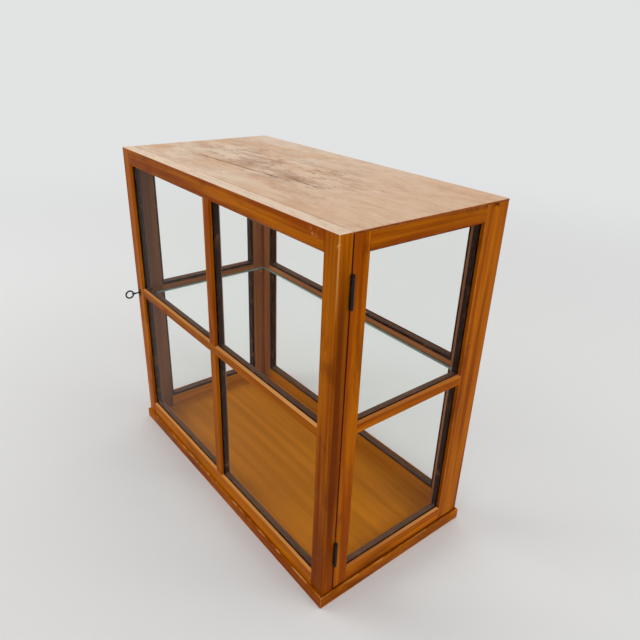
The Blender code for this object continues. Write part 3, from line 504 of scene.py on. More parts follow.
# Stained part of the top round its cracks, and how softly it ends
STAINED_AREA = region(x=(-0.31, 0.22), y=(-0.105, 0.085))
STAINED_SOFT = (0.12, 0.06, SKIN)

# Where each frame is dark inside: from the glass inwards, but not on the case's own faces
STAIN_BOXES = {
    "door": region(
        x=(CASE_LEFT + SKIN, CASE_RIGHT - SKIN), y=(DOOR_FRONT + LIP_DEPTH, FAR),
        z=(DOOR_BOTTOM + SKIN, CASE_TOP - SKIN),
    ),
    "right_side": region(x=(-FAR, CASE_RIGHT - LIP_DEPTH), y=(-FAR, REAR - SKIN)),
    "left_side": region(x=(CASE_LEFT + LIP_DEPTH, FAR), y=(-FAR, REAR - SKIN)),
    "back": region(y=(-FAR, REAR - LIP_DEPTH)),
}

# Painted shade in the side and back frames' seam with the base board, and darker broken patches under their
# top edge
FRAME_MARKS = (
    mark("grime_and_shade", 0.95, (SKIN, SKIN, 0.0008), z=(-FAR, FRAME_BOTTOM + 0.0022)),
    mark("grime_and_shade", 0.85, (SKIN, 0.08, 0.005), 42.0, y=(0.02, FAR), z=(CASE_TOP - 0.011, FAR)),
)

# Painted shade on both sides of the gap round the door
DOOR_GAP_SHADE = mark("grime_and_shade", 0.95, CRISP, y=(DOOR_BACK - 0.001, FAR))
CASE_GAP_SHADE = mark("grime_and_shade", 0.95, CRISP, y=(-FAR, CARCASS_FRONT + 0.0014))

# The base board's front and right rims, rubbed pale with a painted highlight, and painted shade in its seam
# with the right side
BASE_MARKS = (
    mark("bare", 0.6, (SKIN, SKIN, 0.001), 30.0, y=(-FAR, DOOR_FRONT - 0.0018), z=BASE_RIM),
    mark("bare", 0.3, (SKIN, SKIN, 0.001), 30.0, x=(CASE_RIGHT + 0.0018, FAR), z=BASE_RIM),
    mark(
        "grime_and_shade", 0.9, (SKIN, SKIN, SKIN / 2), x=(CASE_RIGHT - SKIN, CASE_RIGHT + 0.0016),
        z=(BASE_TOP - SKIN, FAR),
    ),
)

# The rear stiles' darker outer edge, painted shade in red brown on their bevel, and a painted highlight along
# the bevel's outer arris
SIDE_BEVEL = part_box("right_side_upper_pane")[1].y - PANE_OVERLAP + MOULDING
REAR_STILE_MARKS = (
    mark("grime_and_shade", 0.7, (SKIN, 0.001, 0.15), y=(REAR - 0.0022, FAR), z=(0.3, FAR)),
    mark("red_brown", 0.55, CRISP, y=(-FAR, SIDE_BEVEL)),
    mark("bare", 0.4, CRISP, 30.0, y=(SIDE_BEVEL, SIDE_BEVEL + 0.0016)),
)

# Wear, dirt, darker tone and painted highlights of single pieces, seen on them or usual on such pieces
MARKS = {
    "door_right_stile": (
        mark("red_brown", 0.42, (SKIN / 2, SKIN, 0.09), x=RIGHT_FACE, z=(0.13, 0.6)),
        mark(
            "red_brown", 0.7, (SKIN / 2, 0.0035, 0.12), x=RIGHT_FACE,
            y=(DOOR_FRONT + 0.003, DOOR_BACK - 0.005), z=(0.05, 0.61),
        ),
        mark("red_brown", 0.5, (SKIN, SKIN / 2, 0.22), y=FRONT_FACE, z=(-FAR, 0.33)),
        # Rubbed pale wood and a painted highlight along the front right arris, from halfway up
        mark(
            "bare", 0.6, (0.0014, 0.0014, 0.08), x=(CASE_RIGHT - 0.002, FAR),
            y=(-FAR, DOOR_FRONT + 0.002), z=(0.5, FAR),
        ),
        mark(
            "bare", 0.65, (0.003, 0.003, 0.004), 190.0, x=(CASE_RIGHT - 0.005, FAR),
            y=(-FAR, DOOR_FRONT + 0.004), z=(0.6, 0.612),
        ),
    ),
    "door_top_rail": (
        mark("red_brown", 0.35, (0.2, SKIN / 2, SKIN), x=(-FAR, 0.06), y=FRONT_FACE),
        mark("bare", 0.45, (0.006, SKIN / 2, 0.004), 120.0, x=(0.262, 0.292), y=FRONT_FACE, z=(0.604, 0.618)),
    ),
    # Painted highlights on the upper bevels of these rails
    "door_mid_rail": (bevel_highlight("door_mid_rail", 0.3), bevel_highlight("door_mid_rail", 0.55, 0.02)),
    "door_bottom_rail": (bevel_highlight("door_bottom_rail", 0.38),),
    "right_side_bottom_rail": (bevel_highlight("right_side_bottom_rail", 0.35, -0.06, "y"),),
    "right_side_front_stile": (nick(-0.1197, 0.5271),),
    "right_side_rear_stile": (nick(0.1241, 0.391), *REAR_STILE_MARKS),
    "left_side_rear_stile": REAR_STILE_MARKS,
}


def marks_of(node):
    """The marks of a stile, rail or mullion, in the order in which they are painted."""
    door = frame_of(node) == "door"
    marks = [] if door else list(FRAME_MARKS)
    if node.endswith(("left_stile", "right_stile", "front_stile")) and frame_of(node) != "back":
        marks.append(DOOR_GAP_SHADE if door else CASE_GAP_SHADE)
    return [*marks, *MARKS.get(node, ())]


# Finishes

# Colour and strength of the varnish's gloss, and the change of seed from one piece to the next
VARNISH_SHEEN = (1.0, 0.62, 0.22)
VARNISH_GLOSS = 0.025
SEED_STEP = 3.71

# Brownish dust and a painted sheen of light from above, for the beads' upper faces
DUST_AND_SHEEN = (0.17, 0.088, 0.055)
RUBBED_IRON = (0.14, 0.125, 0.115)

# Order of x, y and z that puts the grain's axis first
GRAIN_ORDER = {"x": (0, 1, 2), "y": (1, 2, 0), "z": (2, 0, 1)}

# Red brown added all over the darker pieces
REDNESS = {
    "door_right_stile": 0.22, "door_left_stile": 0.06, "door_lower_mullion": 0.26,
    "door_upper_mullion": 0.1, "door_mid_rail": 0.28, "left_side_front_stile": 0.2,
    "right_side_top_rail": 0.26, "right_side_mid_rail": 0.1, "right_side_rear_stile": 0.1,
}

# Brightness of the inner stain on pieces that are darker inside
INNER_SHADE = {
    "left_side_front_stile": 0.5, "left_side_rear_stile": 0.8, "left_side_mid_rail": 0.75,
    "door_left_stile": 0.6,
}


def varnish_colour(tree, wood, place, lengthwise, seed, redness):
    """Colour of varnished wood with its grain along an axis, and the grain's outputs."""
    axes = coordinates(tree, place)
    turned = {target: axes[source] for target, source in enumerate(GRAIN_ORDER[lengthwise])}
    vector = add_node(tree, "CombineXYZ", turned).outputs[0]
    grain = use_group(tree, "wood_grain", vector, Seed=seed)
    colour = blend_colours(tree, grain["Figure"], wood.amber, wood.honey)
    long_place = vector_maths(tree, "MULTIPLY", vector, (1.0, 3.0, 3.0))
    thick = patches(tree, vector_maths(tree, "ADD", long_place, (seed, seed, seed)), scale=7.0, cover=0.5)
    for mask, strength in ((thick, 0.5), (grain["Fibre"], 0.26), (grain["Pores"], 0.25)):
        colour = overlay(tree, colour, wood.red_brown, mask, strength)
    if redness:
        colour = blend_colours(tree, redness, colour, wood.red_brown)
    return colour, grain


def paint_marks(tree, wood, place, colour, marks):
    for item in marks:
        mask = inside_box(tree, place, item.box, item.soft)
        if item.patch:
            mask = maths(tree, "MULTIPLY", mask, patches(tree, place, item.patch, cover=0.62))
        colour = overlay(tree, colour, getattr(wood, item.paint), mask, item.strength)
    return colour


def scrubbed_wood(tree, place, top, pale, warm):
    return use_group(tree, "scrubbed_top", place, Pale=pale, Warm=warm, Scuff=top.scuff)


def finish_varnish(shader, colour, roughness, grain):
    """Give a shader the gloss and fine relief of varnish."""
    set_inputs(
        shader, Base_Color=colour, Roughness=roughness, Specular_IOR_Level=VARNISH_GLOSS,
        Specular_Tint=VARNISH_SHEEN, Normal=bump(shader.id_data, grain["Fibre"], 0.2, 0.0002),
    )


def inner_colour(node, wood):
    """The stain inside the case, or the base board's colour on the bottom rails round it."""
    if node.endswith("_bottom_rail") and frame_of(node) != "door":
        return wood.floor
    return shade(wood.stain, INNER_SHADE.get(node, 1.0))


def varnished_wood(node, settings, lengthwise, seed):
    """Worn varnish over grain, painted light on faces that look up, darker stain inside the case, and the
    door's scrubbed top edge.
    """
    wood, top = settings.wood, settings.top
    material, tree, shader, place = start_material(f"varnish_{node}")
    colour, grain = varnish_colour(tree, wood, place, lengthwise, seed, REDNESS.get(node, 0.0))
    # Painted light from above: faces that look up are blended towards the bare wood colour
    lit_from_above = ramp(tree, face_direction(tree)[2], 0.2, 0.9, to_high=0.22)
    colour = blend_colours(tree, lit_from_above, colour, wood.bare)
    colour = paint_marks(tree, wood, place, colour, marks_of(node))
    wear = edge_wear(tree, place, radius=0.0014, amount=0.48)
    colour = overlay(tree, colour, wood.bare, wear, 0.5)
    roughness = add_share(tree, clouds(tree, place, 26.0, low=0.26, high=0.42), wear, 0.15)
    stain = inside_box(tree, place, STAIN_BOXES[frame_of(node)])
    inner = inner_colour(node, wood)
    streaked = blend_colours(tree, grain["Figure"], shade(inner, 0.7), inner)
    unworn = maths(tree, "SUBTRACT", 1.0, maths(tree, "MULTIPLY", wear, 0.35))
    colour = overlay(tree, colour, streaked, stain, unworn)
    roughness = add_share(tree, roughness, stain, 0.15)
    if frame_of(node) == "door":
        bare = inside_box(tree, place, TOP_FACE)
        scrubbed = scrubbed_wood(tree, place, top, top.edge, top.pale)
        colour = blend_colours(tree, bare, colour, scrubbed["Color"])
        roughness = add_share(tree, roughness, bare, 0.25)
    finish_varnish(shader, colour, roughness, grain)
    return material


def top_board_finish(settings):
    """Scrubbed wood on top, varnish on the edges, and dark dirt in the cracks."""
    wood, top = settings.wood, settings.top
    material, tree, shader, place = start_material("scrubbed_top_board")
    varnish = varnish_colour(tree, wood, place, "x", seed=40.0, redness=0.35)[0]
    scrubbed = scrubbed_wood(tree, place, top, top.pale, top.warm)
    colour = blend_colours(tree, inside_box(tree, place, TOP_FACE), varnish, scrubbed["Color"])
    wear = edge_wear(tree, place, radius=0.003, amount=0.5)
    colour = overlay(tree, colour, wood.red_brown, wear, 0.5)
    crack = add_node(tree, "Attribute", attribute_name="crack").outputs["Fac"]
    colour = blend_colours(tree, crack, colour, shade(top.scuff, 0.2))
    set_inputs(
        shader, Base_Color=colour, Roughness=clouds(tree, place, 20.0, low=0.45, high=0.65),
        Specular_IOR_Level=0.1, Normal=bump(tree, scrubbed["Height"], 0.3, 0.0003),
    )
    return material


def base_board_finish(wood):
    """Varnish with a pale rubbed rim, its ends' grain turned, and the golden floor of the case."""
    material, tree, shader, place = start_material("varnished_base_board")
    varnish, grain = varnish_colour(tree, wood, place, "x", seed=51.0, redness=0.06)
    lipping = varnish_colour(tree, wood, place, "y", seed=52.0, redness=0.06)[0]
    sideways = maths(tree, "ABSOLUTE", face_direction(tree)[0])
    varnish = blend_colours(tree, sideways, varnish, lipping)
    varnish = paint_marks(tree, wood, place, varnish, BASE_MARKS)
    floor = blend_colours(tree, grain["Figure"], shade(wood.floor, 0.78), wood.floor)
    colour = blend_colours(tree, inside_box(tree, place, BASE_FLOOR), varnish, floor)
    wear = edge_wear(tree, place, radius=0.002, amount=0.7)
    colour = overlay(tree, colour, wood.bare, wear, 0.45)
    finish_varnish(shader, colour, clouds(tree, place, 24.0, low=0.28, high=0.45), grain)
    return material


def bead_finish(wood):
    """Nearly black stain, with brownish dust and a painted sheen of light from above on the beads' upper
    faces.
    """
    material, tree, shader, place = start_material("dark_beads")
    patchy = patches(tree, place, scale=45.0, cover=0.45)
    colour = overlay(tree, wood.bead, wood.stain, patchy, 0.3)
    # Brownish dust and a painted sheen of light from above on faces that look up
    lit_from_above = ramp(tree, face_direction(tree)[2], 0.3, 0.9, to_high=0.6)
    colour = blend_colours(tree, lit_from_above, colour, DUST_AND_SHEEN)
    colour = overlay(tree, colour, wood.stain, edge_wear(tree, place, radius=0.001, amount=0.5), 0.4)
    set_inputs(
        shader, Base_Color=colour, Roughness=ramp(tree, patchy, 0.0, 1.0, 0.42, 0.62),
        Specular_IOR_Level=0.06, Specular_Tint=VARNISH_SHEEN, Normal=bump(tree, patchy, 0.15, 0.0002),
    )
    return material


def clear_glass(glass):
    """Glass with faint smears, which lets lamps through so that the inside isn't dark."""
    material, tree, shader, place = start_material("clear_glass")
    smears = patches(tree, place, scale=9.0, cover=0.4)
    set_inputs(
        shader, Base_Color=glass.tint, Roughness=ramp(tree, smears, 0.0, 1.0, to_high=0.008),
        IOR=glass.ior, Transmission_Weight=1.0,
    )
    clear = add_node(tree, "BsdfTransparent", {"Color": glass.tint}).outputs[0]
    show_mix(tree, add_node(tree, "LightPath").outputs["Is Shadow Ray"], shader.outputs[0], clear)
    return material


def ground_edge(glass):
    """The matt greenish edge of thick glass."""
    material, tree, shader, place = start_material("ground_glass_edge")
    mottled = patches(tree, place, scale=120.0, cover=0.5)
    colour = overlay(tree, glass.edge, shade(glass.edge, 0.7), mottled, 0.3)
    set_inputs(shader, Base_Color=colour, Roughness=0.45, Specular_IOR_Level=0.3)
    return material


def iron_finish(name, base, bloomed):
    """Dull iron with a bloom of a second colour, rubbed bright at its edges."""
    material, tree, shader, place = start_material(name)
    bloom = patches(tree, place, scale=160.0, cover=0.5)
    colour = overlay(tree, base, bloomed, bloom, 0.6)
    colour = overlay(tree, colour, RUBBED_IRON, edge_wear(tree, place, radius=0.0005, amount=0.5), 0.4)
    set_inputs(
        shader, Base_Color=colour, Roughness=ramp(tree, bloom, 0.0, 1.0, 0.5, 0.75), Metallic=0.2,
        Specular_IOR_Level=0.25, Normal=bump(tree, bloom, 0.3, 0.0001),
    )
    return material


def dull_brass(metal):
    """Brass with darker tarnish."""
    material, tree, shader, place = start_material("dull_brass")
    tarnish = patches(tree, place, scale=210.0, cover=0.5)
    colour = overlay(tree, metal.brass, shade(metal.brass, 0.35), tarnish, 0.6)
    roughness = ramp(tree, tarnish, 0.0, 1.0, 0.28, 0.55)
    set_inputs(shader, Base_Color=colour, Roughness=roughness, Metallic=1.0)
    return material


# Pieces

FRAMES = ("door", "right_side", "left_side", "back")


def add_object(name, data):
    made = bpy.data.objects.new(name, data)
    bpy.context.scene.collection.objects.link(made)
    return made


def add_mesh(shape, name, material):
    """Turn a bmesh, drawn in place, into an object of one material."""
    mesh = bpy.data.meshes.new(name)
    shape.to_mesh(mesh)
    shape.free()
    mesh.materials.append(material)
    return add_object(name, mesh)


def add_piece(shape, name, body, material):
    """Turn a bmesh into a piece that rides on a body."""
    piece = add_mesh(shape, name, material)
    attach(piece, body)
    return piece


def add_stand_in(shape, node, ending, material):
    """Turn a bmesh into a piece that rides as a CAD node does and stands for it."""
    piece = add_piece(shape, f"{node}_{ending}", BODY_OF[node], material)
    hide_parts(node)
    return piece


def sewn_copy(node):
    """The node's solid as a bmesh, its loose triangles sewn and its flat faces whole."""
    shape = bmesh.new()
    shape.from_mesh(NODES[node].data)
    bmesh.ops.remove_doubles(shape, verts=shape.verts, dist=WELD)
    bmesh.ops.dissolve_limit(shape, angle_limit=FLAT_ANGLE, verts=shape.verts, edges=shape.edges)
    return shape


def arrises(shape, least_angle, least_length, along=None):
    """Convex edges, sharper and longer than given, and parallel to an axis if one is named."""
    found = []
    for edge in shape.edges:
        if edge.calc_face_angle_signed(0) < least_angle or edge.calc_length() < least_length:
            continue
        direction = (edge.verts[1].co - edge.verts[0].co).normalized()
        if along is None or abs(direction.dot(AXES[along])) > cos(FLAT_ANGLE):
            found.append(edge)
    return found


def round_edges(shape, edges, radius, segments=ARRIS_SEGMENTS):
    bmesh.ops.bevel(
        shape, geom=edges, offset=radius, segments=segments, profile=0.5, affect="EDGES", material=-1,
        clamp_overlap=True,
    )


def wood_piece(node, material, lengthwise, radius):
    """A wooden node's piece, its long arrises eased."""
    shape = sewn_copy(node)
    round_edges(shape, arrises(shape, ARRIS_ANGLE, LONG_ARRIS, lengthwise), radius)
    add_stand_in(shape, node, "eased", material)


def metal_piece(node, material, radius, segments=1):
    """A fitting's piece, smooth where it is turned and crisp at its edges."""
    shape = sewn_copy(node)
    round_edges(shape, arrises(shape, METAL_ARRIS_ANGLE, radius), radius, segments)
    piece = add_stand_in(shape, node, "finished", material)
    piece.data.shade_smooth()
    piece.data.set_sharp_from_angle(angle=SHARP_ANGLE)


def frame_of(node):
    return next(name for name in FRAMES if node.startswith(f"{name}_"))


def lengthwise_of(node):
    if not node.endswith("_rail"):
        return "z"
    return "y" if frame_of(node) in ("right_side", "left_side") else "x"


def cut(shape, faces, point, direction):
    """Split faces where they cross a plane."""
    geometry = dict.fromkeys(item for face in faces for item in (face, *face.edges, *face.verts))
    bmesh.ops.bisect_plane(shape, geom=list(geometry), dist=WELD, plane_co=point, plane_no=direction)


# Ends of the cracks in the top board, the steps along them and how far they wander
CRACKS = (((-0.237, -0.0735), (0.089, -0.0511)), ((0.048, -0.0405), (0.136, -0.0425)))
CRACK_STEP = 0.008
CRACK_WANDER = 0.0009

# Cuts along a crack, and how far its cuts across reach from it, in widths of the crack
CRACK_CUTS = (-1.5, -0.5, 0, 0.5, 1.5)
CRACK_REACH = 2


def crack_waves(along):
    """How far a crack wanders aside at a share of its length, and how open it is there."""
    wander = CRACK_WANDER * (sin(along * 23) + 0.6 * sin(along * 57 + 1))
    opening = max(0, min(1, 6 * along, 5 * (1 - along)) * (0.75 + 0.25 * sin(along * 41)))
    return wander, opening


def crack_board(shape, width, depth, start, end):
    """A crack in the top board: a shallow wandering groove part of the way along it."""
    start, end = Vector((*start, CASE_TOP)), Vector((*end, CASE_TOP))
    reach = (end - start).length
    direction = (end - start).normalized()
    across = direction.cross(Z_AXIS)
    for widths in CRACK_CUTS:
        cut(shape, shape.faces, start + across * (widths * width), across)
    steps = round(reach / CRACK_STEP)
    for step in range(steps + 1):
        faces = [
            face for face in shape.faces
            if abs((face.calc_center_median() - start).dot(across)) < CRACK_REACH * width
        ]
        cut(shape, faces, start.lerp(end, step / steps), direction)
    marks = shape.verts.layers.float.get("crack") or shape.verts.layers.float.new("crack")
    for vertex in shape.verts:
        offset = vertex.co - start
        along, aside = offset.dot(direction) / reach, offset.dot(across)
        if vertex.co.z < CASE_TOP - WELD or not -WELD < along < 1 + WELD or abs(aside) > width:
            continue
        wander, opening = crack_waves(along)
        vertex.co += across * wander
        if abs(aside) < width / 4:
            vertex.co.z -= depth * opening
            vertex[marks] = 1.0 if opening > 0 else 0.0
        else:
            vertex.co -= across * (aside * (1 - opening) * 0.9)
            vertex[marks] = 0.5 * opening


# Screws

ScrewSize = namedtuple("ScrewSize", "head shank head_depth length slot_width slot_depth")
SMALL_SCREW = ScrewSize(0.0028, 0.0013, 0.00095, 0.0085, 0.0007, 0.0004)
BASE_SCREW = ScrewSize(0.0042, 0.002, 0.0033, 0.0335, 0.001, 0.0008)
SCREW_STEPS = 16
SCREW_TIP = 0.0015
SLOT_FLOOR = 0.7
SLOT_TURN = 1.1

# Upright lines of screws: their place across the case, and their rise from the middle of what they hold
LEAF_X = CASE_RIGHT - 0.00825
LEAF_RISES = (-0.0155, 0, 0.0155)
LOCK_X = sum(corner.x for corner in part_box("keyhole_plate")) / 2
LOCK_RISES = (-0.015, 0.015)

# Screws through the base board, under the side frames and the back frame
SIDE_SCREWS_X = (0.011 - CASE_RIGHT, CASE_RIGHT - 0.011)
SIDE_SCREWS_Y = (CARCASS_FRONT + 0.06, REAR - 0.06)
BACK_SCREWS_X = (-0.24, 0, 0.24)
BACK_SCREWS_Y = REAR - 0.01


def screw_mesh(size):
    """A countersunk screw with a slotted head, standing on its tip with its head at the origin."""
    shape = bmesh.new()
    outline = (
        (0, 0), (size.head, 0), (size.shank, -size.head_depth), (size.shank, SCREW_TIP - size.length),
        (0, -size.length),
    )
    profile = [shape.verts.new((radius, 0, height)) for radius, height in outline]
    edges = [shape.edges.new(pair) for pair in zip(profile, profile[1:])]
    bmesh.ops.spin(
        shape, geom=[*profile, *edges], cent=(0, 0, 0), axis=Z_AXIS, angle=tau, steps=SCREW_STEPS,
        use_merge=True,
    )
    bmesh.ops.remove_doubles(shape, verts=shape.verts, dist=WELD)
    for side in (-1, 1):
        cut(shape, shape.faces, (0, side * size.slot_width / 2, 0), Y_AXIS)
    bmesh.ops.recalc_face_normals(shape, faces=shape.faces)
    slot = [
        face for face in shape.faces
        if face.normal.z > 0.99 and abs(face.calc_center_median().y) < size.slot_width / 2
    ]
    sunk = bmesh.ops.extrude_face_region(shape, geom=slot)["geom"]
    floor = [item for item in sunk if isinstance(item, bmesh.types.BMVert)]
    bmesh.ops.scale(shape, verts=floor, vec=(SLOT_FLOOR, 1, 1))
    bmesh.ops.translate(shape, verts=floor, vec=(0, 0, -size.slot_depth))
    mesh = bpy.data.meshes.new("screw")
    shape.to_mesh(mesh)
    shape.free()
    return mesh


def add_screws(name, body, places, size, material):
    """One piece of like screws; places hold each head's place and the direction that it is driven."""
    shape = bmesh.new()
    screw = screw_mesh(size)
    for index, (place, direction) in enumerate(places):
        aim = (-Vector(direction)).to_track_quat("Z", "Y").to_matrix().to_4x4()
        turn = Matrix.Rotation(SLOT_TURN * index, 4, "Z")
        before = len(shape.verts)
        shape.from_mesh(screw)
        made = list(shape.verts)[before:]
        bmesh.ops.transform(shape, verts=made, matrix=Matrix.Translation(place) @ aim @ turn)
    bpy.data.meshes.remove(screw)
    add_piece(shape, name, body, material)


def screw_line(node, x, rises, face, direction):
    """Places of screws in a face, in an upright line at a CAD node's height."""
    low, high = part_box(node)
    return [((x, face, (low.z + high.z) / 2 + rise), direction) for rise in rises]


def base_screws(gap):
    """Places of two screws under each side frame and three under the back frame."""
    places = [(x, y) for x in SIDE_SCREWS_X for y in SIDE_SCREWS_Y]
    places += [(x, BACK_SCREWS_Y) for x in BACK_SCREWS_X]
    return [((x, y, gap), Z_AXIS) for x, y in places]


# Operators

class CASE_OT_dress_frames(bpy.types.Operator):
    """Ease and varnish the stiles, rails and mullions"""

    bl_idname = "display_case.dress_frames"
    bl_label = "Frames"

    def execute(self, context):
        settings = context.scene.display_case
        wooden = [node for node in sorted(NODES) if node.endswith(("_stile", "_rail", "_mullion"))]
        for index, node in enumerate(wooden):
            along = lengthwise_of(node)
            finish = varnished_wood(node, settings, along, SEED_STEP * index)
            wood_piece(node, finish, along, settings.wood.arris)
        return {"FINISHED"}


class CASE_OT_dress_boards(bpy.types.Operator):
    """Finish the base board, and the top board with its cracks"""

    bl_idname = "display_case.dress_boards"
    bl_label = "Boards"

    def execute(self, context):
        settings = context.scene.display_case
        wood, top = settings.wood, settings.top
        shape = sewn_copy("top_board")
        round_edges(shape, arrises(shape, ARRIS_ANGLE, LONG_ARRIS), wood.board_arris)
        for start, end in CRACKS:
            crack_board(shape, top.crack_width, top.crack_depth, start, end)
        add_stand_in(shape, "top_board", "scrubbed", top_board_finish(settings))
        wood_piece("base_board", base_board_finish(wood), None, wood.arris)
        return {"FINISHED"}


class CASE_OT_glaze(bpy.types.Operator):
    """Glass for the panes and the shelf, and dark beads round the panes"""

    bl_idname = "display_case.glaze"
    bl_label = "Glass and beads"

    def execute(self, context):
        settings = context.scene.display_case
        glass = clear_glass(settings.glass)
        beads = bead_finish(settings.wood)
        for node in sorted(NODES):
            if node.endswith("_pane"):
                NODES[node].material_slots[0].material = glass
            elif node.endswith("_bead"):
                NODES[node].material_slots[0].material = beads
        shelf = sewn_copy("glass_shelf")
        round_edges(shelf, list(shelf.edges), settings.glass.arris)
        piece = add_stand_in(shelf, "glass_shelf", "ground", glass)
        piece.data.materials.append(ground_edge(settings.glass))
        for face in piece.data.polygons:
            face.material_index = int(abs(face.normal.z) < 0.5)
        return {"FINISHED"}


class CASE_OT_dress_fittings(bpy.types.Operator):
    """Iron for the hinges, lock, keyhole plate and key, and brass for the shelf pins"""

    bl_idname = "display_case.dress_fittings"
    bl_label = "Fittings"

    def execute(self, context):
        metal = context.scene.display_case.iron
        iron = iron_finish("black_iron", metal.black, metal.rust)
        browned = iron_finish("browned_iron", metal.plate, metal.black)
        brass = dull_brass(metal)
        for node in sorted(NODES):
            if "hinge" in node or node in ("lock_case", "lock_plug", "strike_plate", "key"):
                metal_piece(node, iron, metal.arris)
            elif node.endswith("_shelf_pin"):
                metal_piece(node, brass, metal.arris)
        metal_piece("keyhole_plate", browned, metal.plate_arris, PLATE_SEGMENTS)
        return {"FINISHED"}


class CASE_OT_drive_screws(bpy.types.Operator):
    """Slotted screws in the hinges, the lock, the strike plate and the base board"""

    bl_idname = "display_case.drive_screws"
    bl_label = "Screws"

    def execute(self, context):
        gap = context.scene.display_case.iron.head_gap
        iron = bpy.data.materials["black_iron"]  # the frame's own, older than the fittings' finish
        faces = {"door": (DOOR_BACK - gap, -Y_AXIS), "case": (CARCASS_FRONT + gap, Y_AXIS)}
        for body, (face, direction) in faces.items():
            places = screw_line("keyhole_plate", LOCK_X, LOCK_RISES, face, direction)
            for hinge in ("upper_hinge", "lower_hinge"):
                places += screw_line(f"{hinge}_{body}_leaf", LEAF_X, LEAF_RISES, face, direction)
            add_screws(f"{body}_screws", body, places, SMALL_SCREW, iron)
        add_screws("base_screws", "case", base_screws(gap), BASE_SCREW, iron)
        return {"FINISHED"}


# Studio

SENSOR_WIDTH = 36.0
CLIP_START = 0.01
FLOOR_SIZE = 60.0

# Distances between which the floor fades into the backdrop
FADE_START = 0.9
FADE_END = 3.2

# Side of the square lamps, and the place and watts of each
LAMP_SIZE = 1.6
LAMPS = {"window_lamp": ((-1.9, -1.5, 1.9), 17), "side_lamp": ((2.0, 0.8, 1.9), 13)}


def add_lamp(name, place, power):
    """A square soft lamp that shines at the middle of the case."""
    lamp = bpy.data.lights.new(name, "AREA")
    lamp.shape = "SQUARE"
    lamp.size = LAMP_SIZE
    lamp.energy = power
    holder = add_object(name, lamp)
    holder.location = place
    beam = Vector((0, 0, CASE_TOP / 2)) - Vector(place)
    holder.rotation_euler = beam.to_track_quat("-Z", "Y").to_euler()


def add_camera(studio):
    """The camera at the photograph's place and angle."""
    azimuth, elevation = studio.azimuth, studio.elevation
    sight = Vector((-cos(elevation) * sin(azimuth), cos(elevation) * cos(azimuth), -sin(elevation)))
    level = sight.to_track_quat("-Z", "Y")
    camera = add_object("photo_camera", bpy.data.cameras.new("photo_camera"))
    camera.data.lens = studio.lens
    camera.data.sensor_width = SENSOR_WIDTH
    camera.data.clip_start = CLIP_START
    camera.location = studio.eye
    camera.rotation_euler = (level @ Quaternion(Z_AXIS, studio.roll)).to_euler()
    bpy.context.scene.camera = camera


def seen_rays(tree):
    """1 for what the camera, gloss or glass looks at."""
    path = add_node(tree, "LightPath").outputs
    seen = maths(tree, "MAXIMUM", path["Is Camera Ray"], path["Is Transmission Ray"])
    return maths(tree, "MAXIMUM", seen, path["Is Glossy Ray"])


def add_world(studio):
    """Even white light, with the pale backdrop where the camera, gloss and glass look at it."""
    world = bpy.data.worlds.new("studio")
    bpy.context.scene.world = world
    world.use_nodes = True
    tree = world.node_tree
    light = tree.nodes["Background"]
    set_inputs(light, Color=(1, 1, 1), Strength=studio.ambient)
    backdrop = add_node(tree, "Background", {"Color": studio.backdrop}).outputs[0]
    show_mix(tree, seen_rays(tree), light.outputs[0], backdrop, "World Output")


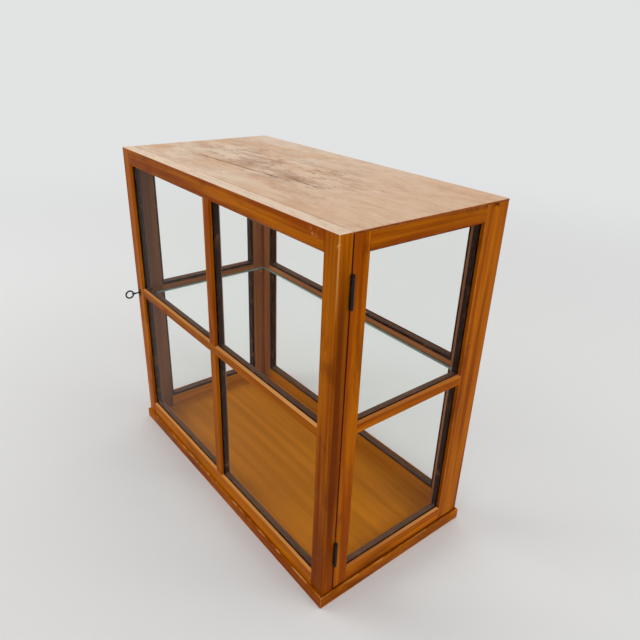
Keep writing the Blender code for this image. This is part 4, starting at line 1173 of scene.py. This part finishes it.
def add_floor(studio):
    """A plain floor that fades into the backdrop away from the case."""
    shape = bmesh.new()
    bmesh.ops.create_grid(shape, x_segments=1, y_segments=1, size=FLOOR_SIZE / 2)
    bmesh.ops.translate(shape, verts=shape.verts, vec=(0, 0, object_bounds()[0].z))
    material, tree, shader, place = start_material("studio_floor")
    set_inputs(shader, Base_Color=studio.floor, Roughness=0.9, Specular_IOR_Level=0.1)
    away = add_node(tree, "VectorMath", {0: place}, operation="LENGTH").outputs["Value"]
    fade = maths(tree, "MULTIPLY", ramp(tree, away, FADE_START, FADE_END), seen_rays(tree))
    backdrop = add_node(tree, "Emission", {"Color": studio.backdrop}).outputs[0]
    show_mix(tree, fade, shader.outputs[0], backdrop)
    add_mesh(shape, "studio_floor", material)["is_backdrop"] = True


class CASE_OT_studio(bpy.types.Operator):
    """Pale floor, soft lamps and the camera at the photograph's angle"""

    bl_idname = "display_case.studio"
    bl_label = "Studio"

    def execute(self, context):
        studio = context.scene.display_case.studio
        add_floor(studio)
        add_world(studio)
        add_camera(studio)
        for name, (place, power) in LAMPS.items():
            add_lamp(name, place, power)
        context.scene.view_settings.view_transform = "Standard"
        return {"FINISHED"}


class DisplayCaseSettings(bpy.types.PropertyGroup):
    wood: PointerProperty(type=WoodSettings, name="Wood", description="Varnish, stain and bare wood")
    top: PointerProperty(type=TopSettings, name="Top", description="Scrubbed top board")
    glass: PointerProperty(type=GlassSettings, name="Glass", description="Panes and shelf")
    iron: PointerProperty(type=IronSettings, name="Metal", description="Fittings and shelf pins")
    studio: PointerProperty(type=StudioSettings, name="Studio", description="Floor and camera")


OPERATORS = (
    CASE_OT_dress_frames, CASE_OT_dress_boards, CASE_OT_glaze, CASE_OT_dress_fittings,
    CASE_OT_drive_screws, CASE_OT_studio,
)


class CASE_PT_display_case(bpy.types.Panel):
    """The display case's steps and its settings"""

    bl_label = "Display case"
    bl_idname = "CASE_PT_display_case"
    bl_space_type = "VIEW_3D"
    bl_region_type = "UI"
    bl_category = "Display case"

    def draw(self, context):
        for operator in OPERATORS:
            self.layout.operator(operator.bl_idname)
        settings = context.scene.display_case
        for part in (settings.wood, settings.top, settings.glass, settings.iron, settings.studio):
            box = self.layout.box()
            for name in part.__annotations__:
                box.prop(part, name)


CLASSES = (
    WoodSettings, TopSettings, GlassSettings, IronSettings, StudioSettings, DisplayCaseSettings,
    *OPERATORS, CASE_PT_display_case,
)


def register():
    for item in CLASSES:
        bpy.utils.register_class(item)
    bpy.types.Scene.display_case = PointerProperty(
        type=DisplayCaseSettings, name="Display case", description="Sizes and colours of the case"
    )


def unregister():
    del bpy.types.Scene.display_case
    for item in reversed(CLASSES):
        bpy.utils.unregister_class(item)


def main():
    register()
    bpy.ops.display_case.dress_frames()
    bpy.ops.display_case.dress_boards()
    bpy.ops.display_case.glaze()
    bpy.ops.display_case.dress_fittings()
    bpy.ops.display_case.drive_screws()
    bpy.ops.display_case.studio()


if __name__ == "__main__":
    main()
